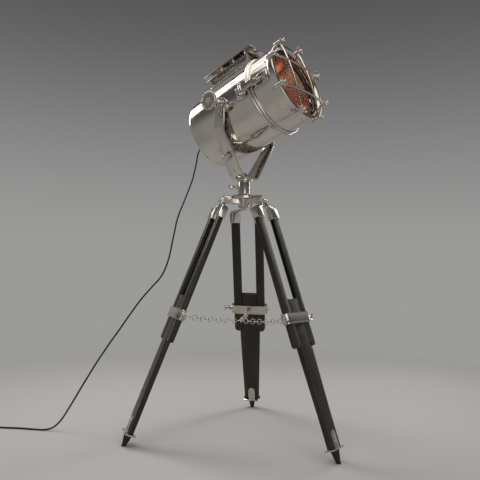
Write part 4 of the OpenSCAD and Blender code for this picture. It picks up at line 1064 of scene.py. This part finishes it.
def hexagon(name, radius, height, place):
    """A hexagonal head with its corners turned off, standing on Z = 0."""
    bm = bmesh.new()
    bmesh.ops.create_cone(bm, cap_ends=True, segments=6, radius1=radius, radius2=radius, depth=height)
    bmesh.ops.translate(bm, verts=bm.verts, vec=(0, 0, height / 2))
    head = new_piece(name, mesh_of(name, bm))
    bevel = head.modifiers.new("Corners", "BEVEL")
    bevel.width = radius * 0.1
    bevel.segments = 3
    applied(head, 40)
    put(head.data, place)
    return head


def sleeve(name, inner, outer, start, end, place, steps=40):
    """A plain ring or collar about the X axis of its place."""
    outline = [(inner, start), (outer, start), (outer, end), (inner, end)]
    return turned(name, outline, place, steps)


def add_hinge_bolt(leg, azimuth, finish):
    """The bolt through a leg's hinge, with a hexagonal head and a wing nut on a washer."""
    node = f"{leg}_hinge_bolt"
    place = ON_POST @ turn(azimuth, "Z") @ shift(HINGE_R, 0, HINGE_H)
    low, high = own_box(node, place)
    radius, head_h, washer_r, washer_h = 5 * MM, 5 * MM, 8.5 * MM, 1.6 * MM
    grip = -low.y - head_h
    plain = [(0, -grip), (radius, -grip), (radius, grip)]
    parts = [
        turned(node + "_shank", plain + threaded(radius, grip, high.y, 1.2 * MM)[1:], place @ X_TO_Y, 40),
        sleeve(node + "_washer", radius, washer_r, grip, grip + washer_h, place @ X_TO_Y),
        hexagon(node + "_head", 9 * MM, head_h, place @ shift(0, low.y, 0) @ ALONG_Y),
        wing_nut(node + "_nut", radius - 0.5 * MM, 10 * MM, 34 * MM, 3 * MM,
                 place @ shift(0, grip + washer_h, 0) @ ALONG_Y @ turn(35, "Z"), 0.6 * MM),
    ]
    fit(joined(node + "_assembly", parts), finish, "hub_body", "polished_nickel", node)


def add_clamp_screw(leg, azimuth, finish):
    """The clamp's screw, with its wing nut, collar and cross bar."""
    node = f"{leg}_clamp_screw"
    clamp = own_box(f"{leg}_clamp", leg_frame(azimuth))
    place = leg_frame(azimuth) @ shift(0, 0, (clamp[0].z + clamp[1].z) / 2)
    low, high = own_box(node, place)
    radius, bar_r, half = 4 * MM, 3.5 * MM, 13 * MM
    end = high.y - bar_r
    shoulder = end - 27 * MM
    bar = [(0, -half)] + arc((bar_r - MM, -half + MM), MM, -90, 0, 4)
    bar += arc((bar_r - MM, half - MM), MM, 0, 90, 4) + [(0, half)]
    parts = [
        turned(node + "_shank", threaded(radius, low.y, end, 1.3 * MM), place @ X_TO_Y, 40),
        sleeve(node + "_collar", radius, 5.5 * MM, end - 5 * MM, end - 1 * MM, place @ X_TO_Y),
        turned(node + "_bar", bar, place @ shift(0, end, 0) @ turn(30, "Y") @ turn(-90, "Y"), 32),
        wing_nut(node + "_nut", radius - 0.5 * MM, 11 * MM, 40 * MM, 3.5 * MM,
                 place @ shift(0, shoulder, 0) @ ALONG_Y @ turn(60, "Z"), 0.65 * MM),
    ]
    fit(joined(node + "_assembly", parts), finish, f"{leg}_clamp_screw_body", "polished_nickel", node)


class LAMP_OT_chains(Operator):
    """Adds the three arms of the brace chain, with their centre ring and hooks."""

    bl_idname = "lamp.chains"
    bl_label = "Brace chain"

    def execute(self, context):
        sizes = context.scene.lamp_sizes
        tree = chain_tree()
        for leg, azimuth in LEGS.items():
            add_chain(leg, azimuth, tree, sizes)
        return {"FINISHED"}


CHAIN_SAG = 20 * MM
RING_R = 12 * MM
RING_STEPS = 48
HOOK_BEND_R = 5 * MM
HOOK_ROOM = 34 * MM
HOOK_STEPS = 24
HOOK_OPENING = 0.35
OPEN_GAP = 3 * MM
LINK_CLEAR = 0.5 * MM


def add_chain(leg, azimuth, tree, sizes):
    """One arm: its links, the centre ring on the back arm, and the hook and eye at the clamp."""
    name = f"{leg}_chain"
    pin = Vector(JOINTS[f"{leg}_chain_swing"]["pos_m"]) - POST_FOOT
    reach = math.hypot(pin.x, pin.y)
    link, wire = sizes.link, sizes.wire
    pitch = 2 * (link - wire) - LINK_CLEAR
    with_ring = leg == "back"
    first = RING_R + link - 2 * wire - LINK_CLEAR if with_ring else RING_R + wire + OPEN_GAP + link + wire
    count = int((reach - HOOK_ROOM - first) / pitch) + 1
    last = first + (count - 1) * pitch
    parts = [grown(name + "_links", tree, {
        "Links": count, "First": first, "Pitch": pitch, "Sag": CHAIN_SAG, "Reach": reach,
        "Link radius": link, "Wire radius": wire, "Finish": MATERIALS["nickel"]})]
    if with_ring:
        ring = [(RING_R * math.cos(a), RING_R * math.sin(a), -CHAIN_SAG) for a in round_angles(RING_STEPS)]
        parts.append(swept(name + "_ring", ring, wire, WIRE_STEPS, closed=True))
    parts.append(chain_hook(name + "_hook", last + link - wire, reach, wire, count % 2 == 0))
    outline = [(2.8 * MM, -3.5 * MM), (5.2 * MM, -3.5 * MM)] + arc((5 * MM, -2.5 * MM), MM, -60, 0, 3)
    outline += arc((5 * MM, 2.5 * MM), MM, 0, 60, 3) + [(5.2 * MM, 3.5 * MM), (2.8 * MM, 3.5 * MM)]
    parts.append(turned(name + "_eye", outline, shift(reach, 0, 0) @ X_TO_Y, 32))
    chain = joined(name + "_arm", parts)
    chain.data.transform(ON_POST @ turn(azimuth, "Z") @ shift(0, 0, pin.z))
    fit(chain, "nickel", f"{leg}_chain_body", "polished_nickel", name)


def chain_hook(name, start, reach, wire, upright):
    """The hook from the last link to the eye: an open loop and a straight stem along the chain's slope."""
    bend_x = start + 1.5 * MM + HOOK_BEND_R - 0.8 * MM
    drop = CHAIN_SAG * (1 - (bend_x / reach) ** 2)
    dx = reach - bend_x - HOOK_BEND_R
    own = shift(bend_x, 0, -drop) @ Matrix.Rotation(-math.atan2(drop, dx), 4, "Y")
    loop_place = own @ turn(90 if upright else 0, "X")
    sweep = 2 * math.pi - 2 * HOOK_OPENING
    angles = [HOOK_OPENING + sweep * i / HOOK_STEPS for i in range(HOOK_STEPS + 1)]
    loop = [loop_place @ Vector((HOOK_BEND_R * math.cos(a), HOOK_BEND_R * math.sin(a), 0)) for a in angles]
    stem_l = math.hypot(dx, drop) - 6 * MM
    stem = [own @ Vector((HOOK_BEND_R + 2 * MM + stem_l * i / 8, 0, 0)) for i in range(9)]
    return swept(name, loop + stem, wire, 12)


class LAMP_OT_post(Operator):
    """Dresses the hub, the post and its thumb screw."""

    bl_idname = "lamp.post"
    bl_label = "Hub and post"

    def execute(self, context):
        edge = context.scene.lamp_sizes.edge
        for node in ("hub", "post", "pan_lock_screw"):
            rounded_copy(node, edge * 1.2, "nickel")
        return {"FINISHED"}


class LAMP_OT_yoke(Operator):
    """Dresses the yoke and makes its ribbed knob and the large wing nuts of the tilt pivot."""

    bl_idname = "lamp.yoke"
    bl_label = "Yoke and tilt nuts"

    def execute(self, context):
        edge = context.scene.lamp_sizes.edge
        for node, share in (("yoke", 2), ("yoke_spigot", 1), ("arm_knob", 0.7)):
            rounded_copy(node, edge * share, "nickel")
        for side, node, spin in ((-1, "near_tilt_nut", -155), (1, "far_tilt_nut", 25)):
            add_tilt_nut(side, node, spin)
        return {"FINISHED"}


STUD_BORE_R = 8.05 * MM


def add_tilt_nut(side, node, spin):
    """A large wing nut on its washer, outside one arm of the yoke."""
    inner = min(abs(corner.y) for corner in own_box(node, HEAD))
    place = head_side(side) @ shift(0, inner, 0)
    washer_r, washer_h, round_r = 16 * MM, 4.5 * MM, 1 * MM
    outline = [(STUD_BORE_R, 0), (washer_r + 0.3 * MM, 0)] + arc((washer_r, round_r), round_r, -60, 0, 3)
    outline += arc((washer_r, washer_h - round_r), round_r, 0, 60, 3)
    outline += [(washer_r + 0.3 * MM, washer_h), (STUD_BORE_R, washer_h)]
    washer = turned(node + "_washer", outline, place @ X_TO_Y, 56)
    nut = wing_nut(node + "_wings", STUD_BORE_R, 22 * MM, 84 * MM, 6.5 * MM,
                   place @ shift(0, 4 * MM, 0) @ ALONG_Y @ turn(spin, "Z"), 1.1 * MM)
    fit(joined(node + "_cast", [washer, nut]), "nickel", node + "_body", "polished_nickel", node)


class LAMP_OT_drum(Operator):
    """Dresses the drum and its rear cover, flange, pivots and hand wheels."""

    bl_idname = "lamp.drum"
    bl_label = "Drum"

    def execute(self, context):
        edge = context.scene.lamp_sizes.edge
        for node in ("drum_shell", "rear_cover", "flange_ring"):
            rounded_copy(node, edge * 0.8, "shell")
        rounded_copy("pivot_studs", edge, "nickel")
        add_hand_wheels()
        return {"FINISHED"}


def ribbed(piece, place, outside, depth, ribs):
    """Presses ribs into the rim of a turned piece, where it lies outside a radius."""
    back = place.inverted()
    for vertex in piece.data.vertices:
        own = back @ vertex.co
        if math.hypot(own.y, own.z) > outside:
            inwards = depth * (0.5 - 0.5 * math.cos(ribs * math.atan2(own.z, own.y)))
            vertex.co = place @ Vector((own.x, own.y * (1 - inwards), own.z * (1 - inwards)))


WHEEL_T = 14 * MM
WHEEL_EDGE_R = 3 * MM
WHEEL_RIBS = 48


def add_hand_wheels():
    """The round hand wheels on the pivot studs: a ribbed rim, a dished face and a raised ring."""
    corner = own_box("hand_wheels", HEAD)[1]
    face, radius = corner.y, corner.z
    back = face - WHEEL_T
    edge = WHEEL_EDGE_R
    ring_r, ring_tube = 7.5 * MM, 2.3 * MM
    outline = [(STUD_BORE_R, back - 6 * MM), (radius * 0.38, back - 6 * MM), (radius * 0.45, back)]
    outline += arc((radius - edge, back + edge), edge, -90, 0, 6)
    outline += arc((radius - edge, face - edge), edge, 0, 90, 6)
    outline += [(radius * 0.82, face - 0.4 * MM), (radius * 0.79, face - 1.8 * MM)]
    outline += [(ring_r + 3 * MM, face - 2.4 * MM)] + arc((ring_r, face - ring_tube), ring_tube, 0, 180, 10)
    outline += [(4.6 * MM, face - 7 * MM), (0, face - 7.5 * MM), (0, face - 9 * MM)]
    outline += [(STUD_BORE_R, face - 9 * MM)]
    wheels = []
    for side in (-1, 1):
        place = head_side(side) @ X_TO_Y
        wheel = turned("wheel", outline, place, 4 * WHEEL_RIBS)
        ribbed(wheel, place, radius - 2.6 * MM, 0.035, WHEEL_RIBS)
        wheels.append(wheel)
    fit(joined("hand_wheel_pair", wheels), "shell", "drum_body", "nickel_shell", "hand_wheels")


class LAMP_OT_vent(Operator):
    """Dresses the vent chimney."""

    bl_idname = "lamp.vent"
    bl_label = "Vent"

    def execute(self, context):
        for node in ("vent_base", "vent_stack"):
            rounded_copy(node, context.scene.lamp_sizes.edge * 1.8, "nickel")
        return {"FINISHED"}


class LAMP_OT_latch(Operator):
    """Dresses the latch and the hood's hinge."""

    bl_idname = "lamp.latch"
    bl_label = "Latch and hinge"

    def execute(self, context):
        for node in ("latch_base", "latch_strap", "latch_keeper", "door_hinge_fixed", "door_hinge_moving"):
            rounded_copy(node, context.scene.lamp_sizes.edge, "nickel")
        return {"FINISHED"}


class LAMP_OT_front(Operator):
    """Dresses the hood, bezel and glass, and makes the guard and its wing nuts."""

    bl_idname = "lamp.front"
    bl_label = "Front"

    def execute(self, context):
        sizes = context.scene.lamp_sizes
        rounded_copy("hood", sizes.edge * 0.8, "shell")
        rounded_copy("bezel", sizes.edge * 1.4, "shell")
        rounded_copy("glass", sizes.edge, "glass")
        rounded_copy("glass_seal", 0.3 * MM, "rubber")
        add_guard(sizes)
        add_guard_nuts(sizes)
        return {"FINISHED"}


GUARD_PCD_R = 163 * MM
GUARD_BULGE = 16 * MM
GUARD_BAR_R = 4.5 * MM
PAD_T = 7.5 * MM
FIRST_NUT_ANGLE = math.radians(22.5)


def ring_of(name, piece, count, forward):
    """Copies of a piece round the front of the head, each turned to its own angle."""
    ring = grown(name, ring_tree(), {
        "Piece": piece, "Count": count, "Radius": GUARD_PCD_R, "First angle": FIRST_NUT_ANGLE,
        "Forward": forward, "Finish": MATERIALS["nickel"]})
    bpy.data.objects.remove(piece)
    return ring


def add_guard(sizes):
    """The bowed bars, and the pads that the studs pass through."""
    x = own_box("guard", HEAD)[0].x
    half = GUARD_PCD_R * math.cos(FIRST_NUT_ANGLE)
    bow = (half * half + GUARD_BULGE * GUARD_BULGE) / (2 * GUARD_BULGE)
    bars = grown("guard_bars", guard_tree(), {
        "Bow radius": bow, "Half angle": math.asin(half / bow), "Bulge": GUARD_BULGE,
        "Bar radius": GUARD_BAR_R, "Apart": 2 * GUARD_PCD_R * math.sin(FIRST_NUT_ANGLE),
        "Upright x": x + GUARD_BAR_R + 0.4 * MM, "Level x": x + GUARD_BAR_R + 2.1 * MM,
        "Finish": MATERIALS["nickel"]})
    outline = [(4.05 * MM, 0), (7.7 * MM, 0)] + arc((7.5 * MM, MM), MM, -70, 0, 4)
    outline += arc((7.5 * MM, PAD_T - MM), MM, 0, 70, 4) + [(7.7 * MM, PAD_T), (4.05 * MM, PAD_T)]
    pads = ring_of("guard_pads", turned("guard_pad", outline, Matrix(), 36), sizes.nuts, x)
    guard = joined("guard_frame", [bars, pads])
    guard.data.transform(HEAD)
    fit(guard, "nickel", "door_body", "polished_nickel", "guard")


def add_guard_nuts(sizes):
    """The studs with their hexagonal heads behind the bezel's lugs and their wing nuts in front."""
    low, high = own_box("guard_wing_nuts", HEAD)
    seat = own_box("guard", HEAD)[0].x + PAD_T + 0.05 * MM
    parts = [
        turned("stud", threaded(4 * MM, low.x + MM, high.x, 1.25 * MM), Matrix(), 32),
        hexagon("stud_head", 7 * MM, 4 * MM, shift(low.x, 0, 0) @ ALONG_X),
        wing_nut("stud_nut", 3.5 * MM, 13 * MM, 40 * MM, 3.5 * MM,
                 shift(seat, 0, 0) @ ALONG_X @ turn(75, "Z"), 0.7 * MM),
    ]
    ring = ring_of("guard_nuts", joined("stud_and_nut", parts), sizes.nuts, 0.0)
    ring.data.transform(HEAD)
    fit(ring, "nickel", "door_body", "polished_nickel", "guard_wing_nuts")


class LAMP_OT_optics(Operator):
    """Makes the copper reflector, the bulb and the lamp holder."""

    bl_idname = "lamp.optics"
    bl_label = "Reflector and bulb"

    def execute(self, context):
        add_reflector()
        add_bulb()
        return {"FINISHED"}


BOWL_STEPS = 40
BOWL_FLARE = 1.6
CAP_THREADS = 5


def add_reflector():
    """A spun bowl with a rolled rim, seated on the lamp holder's neck."""
    low, high = own_box("reflector", HEAD)
    mouth, back, rim = high.x, low.x, high.y
    wall = 1.6 * MM
    neck = 19.05 * MM
    bowl_r = rim - 5 * MM
    inside = []
    for i in range(BOWL_STEPS + 1):
        deep = (i / BOWL_STEPS) ** BOWL_FLARE
        inside.append((neck + (bowl_r - neck) * math.sqrt(deep), back + wall + (mouth - back - wall) * deep))
    outside = [(r + wall, x - wall) for r, x in inside[1:]]
    rolled = [(rim - 0.3 * MM, mouth), (rim, mouth - 0.5 * wall), (rim - 0.3 * MM, mouth - wall)]
    outline = inside + rolled + outside[::-1] + [(neck + wall, back), (neck, back)]
    fit(turned("reflector_bowl", outline, HEAD, 160), "copper", "drum_body", "copper", "reflector")


def add_bulb():
    """A round opal bulb with a screw cap, in a glazed holder on its tube."""
    low, high = own_box("bulb", HEAD)
    tail, radius = low.x, high.y
    outline = [(0, tail + 19 * MM), (13.2 * MM, tail + 19 * MM), (14.2 * MM, tail + 22 * MM)]
    outline += arc((0, high.x - radius), radius, -58, 90, 32)[:-1] + [(0, high.x)]
    fit(turned("bulb_glass", outline, HEAD, 64, 60), "opal", "drum_body", "opal_glass", "bulb")
    cap = [(0, tail), (4 * MM, tail), (6 * MM, tail + MM), (11.5 * MM, tail + 3 * MM)]
    for i in range(CAP_THREADS):
        x = tail + (4 + i * 3) * MM
        cap += [(12.3 * MM, x), (13 * MM, x + 1.0 * MM), (12.3 * MM, x + 2.0 * MM)]
    cap += [(13.2 * MM, tail + 19.5 * MM), (0, tail + 19.5 * MM)]
    fit(turned("bulb_cap", cap, HEAD, 48), "nickel", "drum_body", "polished_nickel")
    rounded_copy("lamp_holder", 0.6 * MM, "ceramic")


# The screw head's own sizes, as shares of its radius
SCREW_LEVELS = ((1.0, 0.0), (1.0, 0.18), (0.86, 0.42), (0.55, 0.55))
SCREW_SLOT = 0.13
SCREW_FLOOR = 0.22
SCREW_STEPS = 10


def screw_head():
    """A raised slotted head of radius 1, standing on Z = 0: a rim, a dome and a slot across it."""
    bm = bmesh.new()
    for side in (1, -1):
        rows = []
        for radius, z in SCREW_LEVELS:
            reach = math.acos(min(1, SCREW_SLOT / radius))
            angles = [-reach + 2 * reach * i / SCREW_STEPS for i in range(SCREW_STEPS + 1)]
            rim = [(side * radius * math.cos(a), radius * math.sin(a), z) for a in angles]
            rows.append([bm.verts.new(point) for point in rim])
        for first, second in zip(rows, rows[1:]):
            for i in range(SCREW_STEPS):
                bm.faces.new((first[i], first[i + 1], second[i + 1], second[i]))
        bm.faces.new(rows[-1])
        bm.faces.new(rows[0][::-1])
        bm.faces.new([row[0] for row in rows] + [row[-1] for row in rows][::-1])
    floor = bmesh.ops.create_cone(
        bm, cap_ends=True, segments=2 * SCREW_STEPS, radius1=0.97, radius2=0.9, depth=SCREW_FLOOR)
    bmesh.ops.translate(bm, verts=floor["verts"], vec=(0, 0, SCREW_FLOOR / 2))
    return new_piece("screw_head", mesh_of("screw_head", bm))


class LAMP_OT_screws(Operator):
    """Sets slotted screw heads on the hood, pivots, latch, hinge, rear cover and shoes."""

    bl_idname = "lamp.screws"
    bl_label = "Screw heads"

    def execute(self, context):
        radius = context.scene.lamp_sizes.screw
        tree = fastener_tree()
        head = screw_head()
        for name, body, finish, marks in screw_marks():
            points = bpy.data.meshes.new(name + "_marks")
            points.from_pydata([m[0] for m in marks], [], [])
            points.attributes.new("facing", "FLOAT_VECTOR", "POINT").data.foreach_set(
                "vector", [value for m in marks for value in m[1]])
            points.attributes.new("slot", "FLOAT", "POINT").data.foreach_set(
                "value", [0.7 + 1.9 * i for i in range(len(marks))])
            marker = new_piece(name + "_marks", points)
            screws = grown(name, tree, {
                "Marks": marker, "Head": head, "Radius": radius, "Finish": MATERIALS[finish]})
            bpy.data.objects.remove(marker)
            fit(screws, finish, body, "polished_nickel")
        bpy.data.objects.remove(head)
        return {"FINISHED"}


def screw_marks():
    """Where screw heads sit, for each body: a point on the surface and the way that the head faces."""
    def at(place, point, facing):
        return place @ Vector(point), place.to_3x3() @ Vector(facing)

    def beside(x, y, reach):
        """A pair of heads on a side face of the head, above and below its middle."""
        return [at(HEAD, (x, y, z), (0, math.copysign(1, y), 0)) for z in (-reach, reach)]

    hood_r = own_box("glass", HEAD)[1].y + 3.5 * MM
    glass_x = own_box("glass", HEAD)[0].x
    hood = []
    for i in range(8):
        a = math.radians(22.5 + 45 * i)
        out = (0, -math.sin(a), math.cos(a))
        hood.append(at(HEAD, (glass_x - 18 * MM, out[1] * hood_r, out[2] * hood_r), out))
    keeper = own_box("latch_keeper", HEAD)
    for x in (keeper[0].x + 8 * MM, keeper[1].x - 8 * MM):
        hood += beside(x, -(hood_r + 4 * MM), 15 * MM)
    leaf_x = own_box("door_hinge_moving", HEAD)[1].x
    leaf_y = own_box("flange_ring", HEAD)[1].y + 4 * MM
    for inwards in (8 * MM, 26 * MM):
        hood += beside(leaf_x - inwards, leaf_y, 18 * MM)
    yield "hood_screws", "door_body", "nickel", hood

    drum = []
    fixed_x = own_box("door_hinge_fixed", HEAD)[0].x
    for inwards in (8 * MM, 26 * MM):
        drum += beside(fixed_x + inwards, leaf_y, 18 * MM)
    drum_r = own_box("drum_shell", HEAD)[1].y
    drum += beside(own_box("latch_base", HEAD)[0].x + 10 * MM, -(drum_r + 5 * MM), 14 * MM)
    pad_y = drum_r + 12 * MM - 0.3 * MM
    for side in (-1, 1):
        for a in (45, 135, 225, 315):
            spot = (23 * MM * math.cos(math.radians(a)), side * pad_y, -23 * MM * math.sin(math.radians(a)))
            drum.append(at(HEAD, spot, (0, side, 0)))
    cover = own_box("rear_cover", HEAD)[1]
    cover_r = cover.y - 14 * MM
    for i in range(6):
        a = math.radians(30 + 60 * i)
        drum.append(at(HEAD, (cover.x - 5 * MM, cover_r * math.sin(a), cover_r * math.cos(a)), (-1, 0, 0)))
    yield "drum_screws", "drum_body", "nickel", drum

    for leg, azimuth in LEGS.items():
        place = leg_frame(azimuth)
        foot = own_box(f"{leg}_lower_leg", place)[0].z
        shoes = [at(place, (side * 13.6 * MM, 0, foot + up * MM), (side, 0, 0))
                 for side in (-1, 1) for up in (44, 20)]
        yield f"{leg}_shoe_screws", f"{leg}_lower_body", "nickel_" + leg, shoes


class LAMP_PT_panel(Panel):
    """Lists the steps that finish the lamp."""

    bl_idname = "LAMP_PT_panel"
    bl_label = "Tripod spotlight"
    bl_space_type = "VIEW_3D"
    bl_region_type = "UI"
    bl_category = "Lamp"

    def draw(self, context):
        for step in STEPS:
            self.layout.operator(step.bl_idname)
        for group in (context.scene.lamp_finishes, context.scene.lamp_sizes, context.scene.lamp_stage):
            box = self.layout.box()
            for name in group.bl_rna.properties.keys():
                if name not in ("rna_type", "name"):
                    box.prop(group, name)


STEPS = (LAMP_OT_stage, LAMP_OT_cord, LAMP_OT_legs, LAMP_OT_leg_metal, LAMP_OT_chains, LAMP_OT_post,
         LAMP_OT_yoke, LAMP_OT_drum, LAMP_OT_vent, LAMP_OT_latch, LAMP_OT_front, LAMP_OT_optics,
         LAMP_OT_screws)
GROUPS = {"lamp_finishes": LampFinishes, "lamp_sizes": LampSizes, "lamp_stage": LampStage}
CLASSES = (*GROUPS.values(), *STEPS, LAMP_PT_panel)


def register():
    for item in CLASSES:
        bpy.utils.register_class(item)
    for name, group in GROUPS.items():
        setattr(bpy.types.Scene, name, PointerProperty(type=group))


def unregister():
    for name in GROUPS:
        delattr(bpy.types.Scene, name)
    for item in reversed(CLASSES):
        bpy.utils.unregister_class(item)


def main():
    register()
    bpy.context.scene.view_settings.view_transform = "Standard"
    make_finishes()
    for step in STEPS:
        group, name = step.bl_idname.split(".")
        getattr(getattr(bpy.ops, group), name)()


if __name__ == "__main__":
    main()
